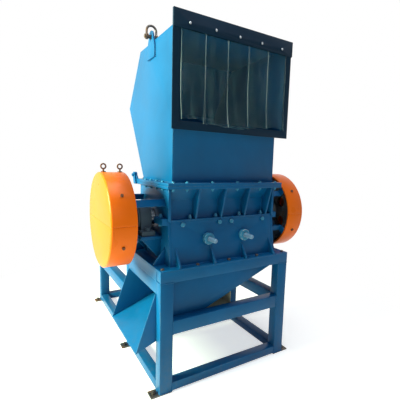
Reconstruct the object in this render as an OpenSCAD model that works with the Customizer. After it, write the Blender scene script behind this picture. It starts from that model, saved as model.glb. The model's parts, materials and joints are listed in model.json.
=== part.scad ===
// Floor-standing plastic crusher: steel frame, two-part cutting chamber, tilting feed hopper,
// strip curtain, knife rotor on two plummer blocks, flywheel, V-belt drive and discharge chute.
// Millimetres, +Z up. The front, with the feed mouth, looks along -Y.

/* [Frame] */
// Width of the frame over its legs
frame_w = 1104; // [1080:2:1160]
// Height of the frame's top face
frame_h = 850; // [830:5:900]
// Depth of the front bay, to the rear face of the middle legs
bay_d = 742; // [740:2:760]
// Depth of the whole frame with the motor bay
frame_d = 1776; // [1740:4:1840]
// Width of a leg tube
leg_w = 92; // [80:2:100]
// Depth of every frame tube
tube_d = 74; // [66:2:80]
// Wall of the frame tubes
tube_wall = 5; // [4:1:8]
// Height of the top rails
top_rail_h = 72; // [64:2:76]
// Underside of the middle rails
mid_rail_z = 416; // [410:2:430]
// Height of the middle rails
mid_rail_h = 94; // [86:2:96]
// Height of the bottom rails
bottom_rail_h = 60; // [50:2:70]
// Thickness of a foot plate
foot_t = 10; // [8:1:14]
// How far a foot plate stands out beside its leg
foot_out = 60; // [50:2:70]
// Diameter of an anchor hole
anchor_d = 18; // [14:1:22]

/* [Chamber] */
// Outer width of the cutting chamber
chamber_w = 922; // [900:2:940]
// Thickness of the chamber plates
plate_t = 20; // [16:1:24]
// Height of the shaft, which is also the split line of the chamber
shaft_z = 1162; // [1156:1:1172]
// Front face of the lower chamber at the split line
lower_top_y = 104; // [100:1:108]
// Front face of the lower chamber at its foot
lower_foot_y = 60; // [50:1:80]
// Thickness of the foot flange
foot_flange_t = 12; // [10:1:16]
// Front face of the upper chamber below its crease
upper_y = 157; // [154:1:160]
// Front face of the upper chamber under the hopper
upper_top_y = 87; // [80:1:100]
// Height of the crease in the upper chamber
crease_z = 1302; // [1295:1:1315]
// Underside of the chamber's top flange
upper_top_z = 1385; // [1380:1:1400]
// Thickness of each flange of the hopper joint
flange_t = 20; // [16:1:22]
// Width of the hopper joint's flanges
flange_w = 978; // [970:2:1000]
// Front edge of the hopper joint's flanges
flange_y = 42; // [36:1:50]
// Spacing of the stiffening ribs
rib_pitch = 213; // [205:1:215]
// Thickness of a stiffening rib
rib_t = 14; // [10:1:18]

/* [Rotor] */
// Radius of the knife tips
tip_r = 184; // [180:0.5:185]
// Diameter of the shaft
shaft_d = 100; // [80:2:104]
// Number of knife rows round the rotor
knife_rows = 3; // [2:1:4]
// Number of rotor segments along the shaft
segments = 5; // [3:1:6]
// Twist from one segment to the next, degrees
segment_twist = 12; // [6:1:18]
// Running clearance of a shaft or pin in its bore
run_gap = 0.05; // [0.02:0.01:0.09]
// Radius of the holes in the screen
screen_hole_r = 15; // [8:1:16]

/* [Drive] */
// Outer radius of the flywheel and the big pulley
wheel_r = 285; // [270:1:290]
// Radius of the motor pulley
motor_pulley_r = 105; // [90:1:115]
// Number of V-belts
belts = 4; // [3:1:5]
// Distance from the rotor's shaft back to the motor's shaft
motor_back = 950; // [920:5:980]
// Height of the motor's shaft over the frame
motor_rise = 285; // [275:1:295]
// Radius of the motor's body
motor_r = 190; // [170:2:200]

/* [Guards] */
// Outer radius of the round guards
guard_r = 322; // [318:1:330]
// Sheet thickness of the guards
guard_t = 4; // [3:0.5:6]
// Inner edge of the left guard, from the middle
guard_left_in = 684; // [676:2:690]
// Outer face of the left guard, from the middle
guard_left_out = 848; // [840:2:860]
// Inner edge of the right guard, from the middle
guard_right_in = 592; // [588:2:600]
// Outer face of the right guard, from the middle
guard_right_out = 748; // [742:2:760]

/* [Hopper] */
// Outer width of the hopper
hopper_w = 874; // [860:2:880]
// Sheet thickness of the hopper
sheet_t = 6; // [4:1:8]
// Front face of the hopper's lower box
hopper_y = 97; // [92:1:102]
// Rear face of the hopper at the flange
hopper_rear_y = 640; // [620:2:644]
// Top of the roof
roof_z = 2415; // [2400:5:2420]
// Rear end of the flat roof
roof_rear_y = 720; // [690:5:760]
// Rearmost point of the hopper
bulge_y = 1004; // [960:4:1020]
// Height of the rearmost point
bulge_z = 2018; // [1990:2:2060]
// Front face of the black mouth frame
mouth_y = 11; // [8:1:14]
// Width of the mouth frame
mouth_w = 966; // [960:2:990]
// Underside of the mouth frame
mouth_z = 1765; // [1755:5:1775]
// Top of the mouth frame
mouth_top_z = 2465; // [2455:5:2480]
// Width of the mouth opening
opening_w = 858; // [840:2:860]
// Width of the mouth frame's bottom border
border_low = 55; // [50:1:60]
// Width of the mouth frame's top border
border_top = 104; // [100:1:110]
// Thickness of a curtain strip
strip_t = 3; // [2:0.5:3]

/* [Chute] */
// Slope of the chute's floor, degrees
chute_slope = 21.5; // [21:0.1:22]
// Height of the chute's lip
lip_z = 302; // [296:1:310]
// How far the lip stands left of the middle
lip_x = 692; // [680:2:710]
// Sheet thickness of the chute
chute_t = 5; // [4:1:6]

/* [Hidden] */
$fn = 64;

// Colours of the finishes
blue = "steelblue";
orange = "darkorange";
steel = "silver";
dark = "dimgray";
// Overrun of every cut
over = 1;

// Middle of the chamber in depth, over the front bay
mid_y = bay_d / 2;
// Middle of the whole object's box, which the part is centred on
box_mid_x = (guard_right_out - guard_left_out) / 2;
screw_tip_y = -30;
box_mid_y = (frame_d + screw_tip_y) / 2;

// Half sizes used by many pieces
half_w = frame_w / 2;
half_c = chamber_w / 2;
half_in = half_c - plate_t;
half_f = flange_w / 2;
half_h = hopper_w / 2;
half_m = mouth_w / 2;

// The three leg rows, by the front face of each
leg_rows = [0, bay_d - tube_d, frame_d - tube_d];

module place() {
    translate([-box_mid_x, -box_mid_y, 0]) children();
}

// Extrudes an outline drawn in depth and height across the width
module across(x, w) {
    translate([x, 0, 0]) rotate([90, 0, 90]) linear_extrude(w) children();
}

// Extrudes an outline drawn in width and height along the depth
module along(y, d) {
    translate([0, y + d, 0]) rotate([90, 0, 0]) linear_extrude(d) children();
}

module block(low, high) {
    translate(low) cube(high - low);
}

module both_sides() {
    for (side = [0, 1]) mirror([side, 0, 0]) children();
}

// Keeps a piece at the front, or mirrors it to the rear of the chamber
module front_or_back(back) {
    translate([0, back * bay_d, 0]) mirror([0, back, 0]) children();
}

// A cylinder along X, from x0 to x1, at depth y and height z
module x_rod(x0, x1, y, z, r) {
    translate([x0, y, z]) rotate([0, 90, 0]) cylinder(h = x1 - x0, r = r);
}

// A cylinder along Y, from y0 to y1
module y_rod(x, y0, y1, z, r) {
    translate([x, y0, z]) rotate([-90, 0, 0]) cylinder(h = y1 - y0, r = r);
}

// Square tubes with open cores, along X, Y and Z
module x_tube(x0, x1, y, z, h) {
    difference() {
        block([x0, y, z], [x1, y + tube_d, z + h]);
        block([x0 - over, y + tube_wall, z + tube_wall],
              [x1 + over, y + tube_d - tube_wall, z + h - tube_wall]);
    }
}

module y_tube(x, w, y0, y1, z, h) {
    difference() {
        block([x, y0, z], [x + w, y1, z + h]);
        block([x + tube_wall, y0 - over, z + tube_wall],
              [x + w - tube_wall, y1 + over, z + h - tube_wall]);
    }
}

module foot_plates() {
    color(dark) place() for (y = leg_rows) both_sides() difference() {
        block([half_w - leg_w, y, 0], [half_w + foot_out, y + tube_d, foot_t]);
        translate([half_w + foot_out / 2, y + tube_d / 2, -over])
            cylinder(h = foot_t + 2 * over, d = anchor_d);
    }
}

module frame_legs() {
    color(blue) place() for (y = leg_rows) both_sides() difference() {
        block([half_w - leg_w, y, foot_t], [half_w, y + tube_d, frame_h - top_rail_h]);
        block([half_w - leg_w + tube_wall, y + tube_wall, foot_t - over],
              [half_w - tube_wall, y + tube_d - tube_wall, frame_h]);
    }
}

module top_rails() {
    z = frame_h - top_rail_h;
    color(blue) place() {
        for (y = leg_rows) x_tube(-half_w, half_w, y, z, top_rail_h);
        for (i = [0, 1]) both_sides() side_rail(i, z, top_rail_h);
    }
}

// Rails between the legs at one height, front to back on both sides and across the rows
module rail_ring(z, h) {
    for (y = leg_rows) x_tube(-half_w + leg_w, half_w - leg_w, y, z, h);
    for (i = [0, 1]) side_rail(i, z, h);
    mirror([1, 0, 0]) side_rail(1, z, h);
}

// A rail on the right, in the front bay or the motor bay
module side_rail(bay, z, h) {
    y_tube(half_w - tube_d, tube_d, leg_rows[bay] + tube_d, leg_rows[bay + 1], z, h);
}

// The chute's mouth takes the place of the left middle rail in the front bay
module middle_rails() {
    color(blue) place() rail_ring(mid_rail_z, mid_rail_h);
}

module bottom_rails() {
    color(blue) place() {
        rail_ring(foot_t, bottom_rail_h);
        mirror([1, 0, 0]) side_rail(0, foot_t, bottom_rail_h);
    }
}

// Motor seat: two cross beams in the rear bay, level with the frame's top
motor_y = mid_y + motor_back;
motor_z = frame_h + motor_rise;
motor_foot_gap = 300;

module motor_beams() {
    color(blue) place() for (side = [-1, 1])
        x_tube(-half_w + tube_d, half_w - tube_d,
               motor_y + side * motor_foot_gap / 2 - tube_d / 2, frame_h - top_rail_h, top_rail_h);
}

// Discharge chute, a sloping tray that opens to the left
chute_gap = 1;
chute_y = tube_d + chute_gap;
chute_rear_y = leg_rows[1] - chute_gap;
chute_top_z = 690;
chute_right_x = half_in + chute_t;
function floor_z(x) = lip_z + (x + lip_x) * tan(chute_slope);
throat_z = frame_h + foot_flange_t;

module chute_side_outline() {
    polygon([
        [-lip_x, lip_z], [chute_right_x, floor_z(chute_right_x)],
        [chute_right_x, frame_h], [-chute_right_x, frame_h], [-chute_right_x, chute_top_z],
        [-half_w - chute_t, chute_top_z]
    ]);
}

module chute_sides() {
    color(blue) place() {
        along(chute_y, chute_t) chute_side_outline();
        along(chute_rear_y - chute_t, chute_t) chute_side_outline();
    }
}

module chute_floor() {
    drop = chute_t / cos(chute_slope);
    color(blue) place() along(chute_y + chute_t, chute_rear_y - chute_y - 2 * chute_t) {
        polygon([
            [-lip_x, lip_z], [chute_right_x - chute_t, floor_z(chute_right_x - chute_t)],
            [chute_right_x - chute_t, floor_z(chute_right_x - chute_t) + drop],
            [-lip_x, lip_z + drop]
        ]);
        polygon([
            [chute_right_x - chute_t, floor_z(chute_right_x - chute_t)],
            [chute_right_x, floor_z(chute_right_x)], [chute_right_x, frame_h],
            [chute_right_x - chute_t, frame_h]
        ]);
    }
}

module chute_hanger() {
    z = frame_h - top_rail_h;
    color(blue) place()
        y_tube(-half_w, tube_d, tube_d, leg_rows[1], chute_top_z, z - chute_top_z);
}

shelf_x0 = -190;
shelf_x1 = 55;
module chute_shelf() {
    z = floor_z(shelf_x0);
    color("tan") place() along(tube_d, leg_rows[1] - tube_d) polygon([
        [shelf_x0, z - chute_t], [shelf_x1, z - chute_t], [shelf_x1, floor_z(shelf_x1)],
        [shelf_x1 - chute_t, floor_z(shelf_x1 - chute_t)], [shelf_x1 - chute_t, z], [shelf_x0, z]
    ]);
}

// Lower chamber: plates that lean out towards their foot
function lower_y(z) = lower_foot_y + (lower_top_y - lower_foot_y) * (z - throat_z)
    / (shaft_z - throat_z);
lower_lean = atan((lower_top_y - lower_foot_y) / (shaft_z - throat_z));
wall_depth = plate_t * cos(lower_lean);
flange_hole_y = lower_foot_y + plate_t;
flange_bolt_pitch = 262;
flange_bolt_x = [for (i = [-2:1:2]) i * flange_bolt_pitch];
flange_bolt_y = 36;
flange_bolt_r = 9;

module foot_flange() {
    color(blue) place() difference() {
        block([-half_w, 0, frame_h], [half_w, bay_d, throat_z]);
        block([-half_in, flange_hole_y, frame_h - over],
              [half_in, bay_d - flange_hole_y, throat_z + over]);
        for (x = flange_bolt_x, y = [flange_bolt_y, bay_d - flange_bolt_y])
            translate([x, y, frame_h - over])
                cylinder(h = foot_flange_t + 2 * over, r = flange_bolt_r);
    }
}

module lean_outline() {
    polygon([
        [lower_foot_y, throat_z], [lower_top_y, shaft_z],
        [lower_top_y + plate_t, shaft_z], [lower_foot_y + plate_t, throat_z]
    ]);
}

module lower_walls() {
    color(blue) place() for (back = [0, 1]) front_or_back(back) difference() {
        across(-half_in, 2 * half_in) lean_outline();
        if (back == 0) for (x = screw_x)
            y_rod(x, -over, mid_y, screw_z, screw_r + screw_hole_gap);
        for (x = wall_bolt_x) wall_bolt_place(x)
            y_rod(0, -over, wall_depth + over, 0, wall_bolt_r + run_gap);
    }
}

shaft_hole_gap = 8;
shaft_hole_r = shaft_d / 2 + shaft_hole_gap;
module lower_side_walls() {
    color(blue) place() both_sides() difference() {
        across(half_in, plate_t) polygon([
            [lower_foot_y, throat_z], [lower_top_y, shaft_z],
            [bay_d - lower_top_y, shaft_z], [bay_d - lower_foot_y, throat_z]
        ]);
        x_rod(half_in - over, half_c + over, mid_y, shaft_z, shaft_hole_r);
    }
}

// Triangular gussets between the lower chamber and its foot flange
gusset_h = 122;
gusset_t = 14;
gusset_reach = 58;
gusset_pitch = 274;
gusset_x = [for (i = [-1.5:1:1.5]) i * gusset_pitch];
side_gusset_in = 90;
side_gusset_y = [lower_foot_y + side_gusset_in, bay_d - lower_foot_y - side_gusset_in];
gusset_nose = 12;

module foot_gussets() {
    color(blue) place() {
        for (x = gusset_x, back = [0, 1])
            front_or_back(back)
                across(x - gusset_t / 2, gusset_t) polygon([
                    [lower_y(throat_z), throat_z],
                    [lower_y(throat_z + gusset_h), throat_z + gusset_h],
                    [lower_foot_y - gusset_reach, throat_z + gusset_nose],
                    [lower_foot_y - gusset_reach, throat_z]
                ]);
        for (y = side_gusset_y) both_sides()
            along(y - gusset_t / 2, gusset_t) polygon([
                [half_c, throat_z], [half_c, throat_z + gusset_h],
                [half_w - gusset_nose, throat_z + gusset_nose], [half_w - gusset_nose, throat_z]
            ]);
    }
}

// Fixed knives, two on each side, on seats inside the lower chamber
knife_gap = 2;
bed_t = 28;
bed_z = shaft_z - bed_t;
bed_edge_y = mid_y - tip_r - knife_gap;
bed_bevel = 10;

// Screen under the rotor, and the cradle bars that carry it
screen_gap = 8;
screen_t = 8;
screen_r = tip_r + screen_gap;
screen_end = 18;
cradle_t = 22;
cradle_bars = 4;
cradle_bar_w = 16;
cradle_r = screen_r + screen_t;
cradle_top_z = shaft_z - (cradle_r + cradle_t) * sin(screen_end);
cradle_top_gap = 0.6;
seat_h = bed_z - cradle_top_z - cradle_top_gap;

module bed_knife_seats() {
    color(blue) place() for (back = [0, 1]) front_or_back(back)
        across(-half_in, 2 * half_in) polygon([
            [lower_y(bed_z - seat_h) + plate_t + run_gap, bed_z - seat_h],
            [lower_y(bed_z) + plate_t + run_gap, bed_z], [bed_edge_y - bed_bevel, bed_z],
            [bed_edge_y - 2 * bed_bevel, bed_z - seat_h]
        ]);
}

module bed_knives() {
    color(steel) place() for (back = [0, 1], x = [-half_in, 0])
        front_or_back(back)
            across(x + over, half_in - 2 * over) polygon([
                [lower_top_y + plate_t, bed_z], [lower_top_y + plate_t, bed_z + bed_t],
                [bed_edge_y, bed_z + bed_t], [bed_edge_y - bed_bevel, bed_z]
            ]);
}

// Heads and shanks of the bolts that hold the fixed knives, square to the leaning wall
wall_bolt_x = [-352, -52, 52, 352];
wall_bolt_drop = 24;
wall_bolt_r = 10;
bolt_head_h = 10;
head_share = 1.7;

module wall_bolt_place(x) {
    z = shaft_z - wall_bolt_drop;
    translate([x, lower_y(z), z]) rotate([-lower_lean, 0, 0]) children();
}

module wall_bolts() {
    color(steel) place() for (back = [0, 1], x = wall_bolt_x)
        front_or_back(back) wall_bolt_place(x) {
            translate([0, -bolt_head_h, 0]) rotate([-90, 0, 0])
                cylinder(h = bolt_head_h, r = head_share * wall_bolt_r, $fn = 6);
            y_rod(0, 0, wall_depth, 0, wall_bolt_r);
        }
}

// Jack screws that press the cradle up, with their collars on the front wall
screw_x = [-158, 158];
screw_z = 1030;
screw_r = 16;
screw_hole_gap = 3;
screw_seat_gap = 0.3;
collar_r = 42;
collar_h = 34;

// A curved strip below the shaft, between two radii, ending a little under the shaft line
module trough_outline(r_in, r_out) {
    difference() {
        translate([mid_y, shaft_z]) circle(r = r_out, $fn = 128);
        translate([mid_y, shaft_z]) circle(r = r_in, $fn = 128);
        translate([mid_y - 2 * r_out, shaft_z - r_out * sin(screen_end)])
            square([4 * r_out, 4 * r_out]);
    }
}

screen_rows = 7;
screen_columns = 12;
screen_margin_share = 1.5;
module screen() {
    pitch_x = 2 * half_in / screen_columns;
    margin = screen_margin_share * screen_end;
    step = (180 - 2 * margin) / screen_rows;
    color(dark) place() difference() {
        across(-half_in + over, 2 * half_in - 2 * over)
            trough_outline(screen_r, screen_r + screen_t);
        for (i = [0:1:screen_columns - 1], j = [0:1:screen_rows - 1])
            translate([-half_in + (i + 0.5) * pitch_x, mid_y, shaft_z])
                rotate([margin + (j + 0.5) * step, 0, 0])
                    translate([0, -screen_r + screen_t, 0]) rotate([90, 0, 0])
                        cylinder(h = 3 * screen_t, r = screen_hole_r);
    }
}

cradle_pad = 36;
cradle_pad_sink = 6;
cradle_pad_y = sqrt(pow(cradle_r + cradle_t, 2) - pow(shaft_z - screw_z, 2))
    + cradle_pad / 2 - cradle_pad_sink;
module screen_cradle() {
    bar_gap = (2 * half_in - cradle_bar_w) / (cradle_bars - 1);
    color(dark) place() {
        for (i = [0:1:cradle_bars - 1])
            across(-half_in + i * bar_gap, cradle_bar_w)
                trough_outline(cradle_r, cradle_r + cradle_t);
        for (side = [-1, 1]) block(
            [-half_in, mid_y + side * cradle_pad_y - cradle_pad / 2, screw_z - cradle_pad / 2],
            [half_in, mid_y + side * cradle_pad_y + cradle_pad / 2, screw_z + cradle_pad / 2]);
    }
}

module jack_screw(x) {
    end_y = mid_y - cradle_pad_y - cradle_pad / 2 - screw_seat_gap;
    y_rod(x, screw_tip_y, end_y, screw_z, screw_r);
}

module jack_screw_left() {
    color(steel) place() jack_screw(screw_x[0]);
}

module jack_screw_right() {
    color(steel) place() jack_screw(screw_x[1]);
}

module jack_collars() {
    front = lower_y(screw_z + collar_r) - collar_h;
    color(blue) place() for (x = screw_x) difference() {
        across(x - collar_r, 2 * collar_r) polygon([
            [front, screw_z - collar_r], [front, screw_z + collar_r],
            [lower_y(screw_z + collar_r), screw_z + collar_r],
            [lower_y(screw_z - collar_r), screw_z - collar_r]
        ]);
        y_rod(x, front - over, mid_y, screw_z, screw_r + run_gap);
        difference() {
            y_rod(x, front - over, mid_y, screw_z, 2 * collar_r);
            y_rod(x, front - 2 * over, mid_y + over, screw_z, collar_r);
        }
    }
}

// Places of the four stiffening ribs
rib_first = -246;
rib_x = [for (i = [0:1:3]) rib_first + i * rib_pitch];
rib_set = 4;
rib_top_y = flange_y + rib_set;
rib_foot_y = lower_top_y;

// Flanges and bolts along the split line
split_t = 22;
split_out = 40;
split_len = 150;
module split_flanges() {
    color(blue) place() for (back = [0, 1], z = [shaft_z - split_t, shaft_z])
        front_or_back(back) both_sides() difference() {
            block([half_c, lower_top_y, z], [half_c + split_out, lower_top_y + split_len, z + split_t]);
            translate([half_c + split_out / 2, lower_top_y + split_len / 2, z - over])
                cylinder(h = split_t + 2 * over, r = split_bolt_r + run_gap);
        }
}
split_bolt_r = 9;
split_nut_h = 14;
split_stand = 12;
split_ledge_y = 130;
split_side = 36;
ledge_t = 10;
split_bolt_x = [for (x = rib_x) x - split_side];

module split_bolts() {
    color(steel) place() for (back = [0, 1]) front_or_back(back) {
        for (x = split_bolt_x) {
            translate([x, split_ledge_y, shaft_z + ledge_t]) {
                cylinder(h = split_nut_h + split_stand, r = split_bolt_r);
                cylinder(h = split_nut_h, r = head_share * split_bolt_r, $fn = 6);
            }
        }
        both_sides() translate([half_c + split_out / 2, lower_top_y + split_len / 2, 0]) {
            translate([0, 0, shaft_z - split_t - split_nut_h])
                cylinder(h = 2 * split_t + 2 * split_nut_h + split_stand, r = split_bolt_r);
            for (z = [shaft_z - split_t - split_nut_h, shaft_z + split_t])
                translate([0, 0, z]) cylinder(h = split_nut_h, r = head_share * split_bolt_r, $fn = 6);
        }
    }
}

// Upper chamber: creased walls on a ledge, between flat side plates
module creased_outline() {
    lean = atan((upper_y - upper_top_y) / (upper_top_z - crease_z));
    slant = plate_t / cos(lean);
    dip = plate_t * tan(lean / 2);
    polygon([
        [lower_top_y, shaft_z], [lower_top_y, shaft_z + ledge_t], [upper_y, shaft_z + ledge_t],
        [upper_y, crease_z], [upper_top_y, upper_top_z], [upper_top_y + slant, upper_top_z],
        [upper_y + plate_t, crease_z + dip], [upper_y + plate_t, shaft_z]
    ]);
}

module upper_walls() {
    color(blue) place() for (back = [0, 1]) front_or_back(back)
        across(-half_in, 2 * half_in) creased_outline();
}

side_wall_inset = 8;
side_wall_y = upper_top_y + side_wall_inset;
module upper_side_walls() {
    color(blue) place() both_sides() difference() {
        block([half_in, side_wall_y, shaft_z], [half_c, bay_d - side_wall_y, upper_top_z]);
        x_rod(half_in - over, half_c + over, mid_y, shaft_z, shaft_hole_r);
    }
}

module upper_ribs() {
    color(blue) place() for (back = [0, 1], x = rib_x)
        front_or_back(back)
            across(x - rib_t / 2, rib_t) polygon([
                [upper_y, shaft_z + ledge_t], [upper_y, crease_z], [upper_top_y, upper_top_z],
                [rib_top_y, upper_top_z], [rib_foot_y, shaft_z + ledge_t]
            ]);
}

flange_rear_y = 700;
flange_margin = 24;
flange_hole_front = upper_top_y + plate_t + flange_margin;
module chamber_flange() {
    color(blue) place() difference() {
        block([-half_f, flange_y, upper_top_z], [half_f, flange_rear_y, upper_top_z + flange_t]);
        block([-half_h + sheet_t, flange_hole_front, upper_top_z - over],
              [half_h - sheet_t, hopper_rear_y - flange_margin, upper_top_z + flange_t + over]);
    }
}

// Plummer blocks on brackets outside the side walls
bearing_x = 505;
bearing_w = 95;
bearing_r = 104;
bearing_rise = 112;
bearing_base_z = shaft_z - bearing_rise;
base_half = 155;
base_h = 34;
cap_lip = 12;
bearing_bolt_r = 12;
bracket_t = 20;
bracket_w = 340;
bracket_gusset_t = 14;

module bearing_brackets() {
    low = bearing_base_z - bracket_t;
    color(blue) place() both_sides() {
        block([half_c, mid_y - bracket_w / 2, low],
              [bearing_x + bearing_w + cap_lip, mid_y + bracket_w / 2, bearing_base_z]);
        for (side = [-1, 1])
            along(mid_y + side * (bracket_w / 2 - 2 * bracket_gusset_t) - bracket_gusset_t / 2,
                  bracket_gusset_t) polygon([
                [half_c, low], [bearing_x + bearing_w, low],
                [half_c, throat_z + gusset_nose]
            ]);
    }
}

module bearing_blocks() {
    color("slategray") place() both_sides() {
        difference() {
            union() {
                x_rod(bearing_x, bearing_x + bearing_w, mid_y, shaft_z, bearing_r - cap_lip);
                x_rod(bearing_x + cap_lip, bearing_x + bearing_w - cap_lip, mid_y, shaft_z, bearing_r);
                block([bearing_x + cap_lip, mid_y - bearing_r, bearing_base_z],
                      [bearing_x + bearing_w - cap_lip, mid_y + bearing_r, shaft_z]);
                block([bearing_x, mid_y - base_half, bearing_base_z],
                      [bearing_x + bearing_w, mid_y + base_half, bearing_base_z + base_h]);
            }
            x_rod(bearing_x - over, bearing_x + bearing_w + over, mid_y, shaft_z,
                  shaft_d / 2 + run_gap);
        }
        for (side = [-1, 1])
            translate([bearing_x + bearing_w / 2, mid_y + side * (base_half - 2 * bearing_bolt_r),
                       bearing_base_z + base_h])
                cylinder(h = bolt_head_h + bearing_bolt_r, r = head_share * bearing_bolt_r, $fn = 6);
    }
}

// Rotor
shaft_left_gap = 24;
shaft_right_gap = 20;
shaft_left = guard_left_out - shaft_left_gap;
shaft_right = guard_right_out - shaft_right_gap;
module rotor_shaft() {
    color(steel) place() x_rod(-shaft_left, shaft_right, mid_y, shaft_z, shaft_d / 2);
}

rotor_end_gap = 8;
rotor_w = 2 * half_in - 2 * rotor_end_gap;
core_r = 96;
lobe_r = 148;
knife_t = 16;
knife_h = 78;
segment_gap = 6;
segment_w = (rotor_w - (segments - 1) * segment_gap) / segments;
function segment_start(i) = -rotor_w / 2 + i * (segment_w + segment_gap);

// One segment: a round core with a flat seat and a backing lobe for each knife
lobe_back_share = 0.9;
lobe_front_share = 0.34;
module segment_outline() {
    difference() {
        union() {
            circle(r = core_r);
            for (k = [0:1:knife_rows - 1]) rotate(k * 360 / knife_rows) polygon([
                [-core_r / 2, core_r / 2], [core_r / 2, lobe_r * lobe_back_share],
                [lobe_r * lobe_front_share, lobe_r],
                [core_r, core_r / 3], [core_r / 2, 0], [0, 0]
            ]);
        }
        circle(r = shaft_d / 2);
        for (k = [0:1:knife_rows - 1]) rotate(k * 360 / knife_rows)
            translate([knife_seat, tip_r - knife_h]) square([2 * tip_r, 2 * tip_r]);
    }
}
knife_seat = 46;

module rotor_segments() {
    color(dark) place() for (i = [0:1:segments - 1])
        translate([segment_start(i), mid_y, shaft_z]) rotate([i * segment_twist, 0, 0])
            rotate([90, 0, 90]) linear_extrude(segment_w) segment_outline();
}

tip_h = sqrt(pow(tip_r, 2) - pow(knife_seat + knife_t, 2));
module rotor_knives() {
    color(steel) place() for (i = [0:1:segments - 1])
        translate([segment_start(i), mid_y, shaft_z]) rotate([i * segment_twist, 0, 0])
            for (k = [0:1:knife_rows - 1]) rotate([k * 360 / knife_rows, 0, 0])
                rotate([90, 0, 90]) linear_extrude(segment_w) polygon([
                    [knife_seat, tip_r - knife_h], [knife_seat + knife_t, tip_r - knife_h],
                    [knife_seat + knife_t, tip_h], [knife_seat, tip_h - knife_t]
                ]);
}

// Flywheel and pulleys, turned profiles with bored webs
wheel_clear = 12;
arm_t = 10;
fly_x0 = -(guard_left_out - guard_t - wheel_clear);
fly_x1 = -(guard_left_in + guard_t + arm_t + wheel_clear);
fly_w = fly_x1 - fly_x0;
rim_t = 45;
hub_r = 90;
web_t = 30;
web_hole_r = 44;
web_holes = 6;

module web_cut(w) {
    for (k = [0:1:web_holes - 1]) rotate(k * 360 / web_holes)
        translate([(hub_r + wheel_r - rim_t) / 2, 0, -over]) cylinder(h = w + 2 * over, r = web_hole_r);
}

module flywheel() {
    color(steel) place() translate([fly_x0, mid_y, shaft_z]) rotate([0, 90, 0]) difference() {
        rotate_extrude($fn = 96) polygon([
            [shaft_d / 2, 0], [hub_r, 0], [hub_r, (fly_w - web_t) / 2],
            [wheel_r - rim_t, (fly_w - web_t) / 2], [wheel_r - rim_t, 0], [wheel_r, 0],
            [wheel_r, fly_w], [wheel_r - rim_t, fly_w], [wheel_r - rim_t, (fly_w + web_t) / 2],
            [hub_r, (fly_w + web_t) / 2], [hub_r, fly_w], [shaft_d / 2, fly_w]
        ]);
        web_cut(fly_w);
    }
}

belt_w = 18;
belt_pitch = 24;
belt_h = 13;
belt_gap = 0.4;
pulley_lip = 4;
pulley_w = belts * belt_pitch + 2 * pulley_lip;
pulley_x = guard_right_out - guard_t - wheel_clear - pulley_w;
belt_in_r = wheel_r - belt_h;
motor_in_r = motor_pulley_r - belt_h;

// Grooved rim of a pulley whose grooves reach down to the belts' inner radius
module pulley(r_out, r_in, bore_r) {
    groove = [for (i = [0:1:belts - 1]) let (m = (i + 0.5) * belt_pitch + pulley_lip) each [
        [r_out, m - belt_w / 2 - belt_gap], [r_in, m - belt_w / 2 - belt_gap],
        [r_in, m + belt_w / 2 + belt_gap], [r_out, m + belt_w / 2 + belt_gap]
    ]];
    rotate_extrude($fn = 96) polygon(concat(
        [[bore_r, 0], [r_out, 0]], groove, [[r_out, pulley_w], [bore_r, pulley_w]]));
}

module big_pulley() {
    side = (pulley_w - web_t) / 2;
    color(steel) place() translate([pulley_x, mid_y, shaft_z]) rotate([0, 90, 0]) difference() {
        pulley(wheel_r, belt_in_r, shaft_d / 2);
        for (z = [-over, pulley_w - side]) translate([0, 0, z]) difference() {
            cylinder(h = side + over, r = belt_in_r - rim_t / 2);
            translate([0, 0, -over]) cylinder(h = side + 3 * over, r = hub_r);
        }
        web_cut(pulley_w);
    }
}

motor_shaft_r = 30;
module motor_pulley() {
    color(steel) place() translate([pulley_x, motor_y, motor_z]) rotate([0, 90, 0])
        pulley(motor_pulley_r, motor_in_r, motor_shaft_r);
}

// Loop outline of a belt or cover round the two pulleys, drawn in depth and height
belt_run = norm([motor_back, motor_z - shaft_z]);
belt_tilt = atan2(motor_z - shaft_z, motor_back);
module loop_outline(r1, r2) {
    a = asin((r1 - r2) / belt_run);
    translate([mid_y, shaft_z]) rotate(belt_tilt) {
        circle(r = r1, $fn = 128);
        translate([belt_run, 0]) circle(r = r2, $fn = 96);
        polygon([
            [r1 * sin(a), r1 * cos(a)], [belt_run + r2 * sin(a), r2 * cos(a)],
            [belt_run + r2 * sin(a), -r2 * cos(a)], [r1 * sin(a), -r1 * cos(a)]
        ]);
    }
}

module drive_belts() {
    color("black") place() for (i = [0:1:belts - 1])
        across(pulley_x + (i + 0.5) * belt_pitch + pulley_lip - belt_w / 2, belt_w) difference() {
            loop_outline(wheel_r + belt_gap, motor_pulley_r + belt_gap);
            loop_outline(belt_in_r + belt_gap, motor_in_r + belt_gap);
        }
}

// Motor on slide rails
rail_h = 50;
rail_w = 60;
motor_x1 = 470;
motor_len = 620;
motor_x0 = motor_x1 - motor_len;
foot_h = 24;
foot_w = 90;
fins = 32;
fin_h = 18;
fin_t = 5;
rail_left_in = 170;
rail_right_in = 120;
motor_rail_x = [motor_x0 + rail_left_in, motor_x1 - rail_right_in];
foot_top_share = 0.8;
shield_r = motor_r + fin_h;

module motor_rails() {
    color(dark) place() for (x = motor_rail_x)
        block([x - rail_w / 2, motor_y - motor_foot_gap / 2 - tube_d, frame_h],
              [x + rail_w / 2, motor_y + motor_foot_gap / 2 + tube_d, frame_h + rail_h]);
}

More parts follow.
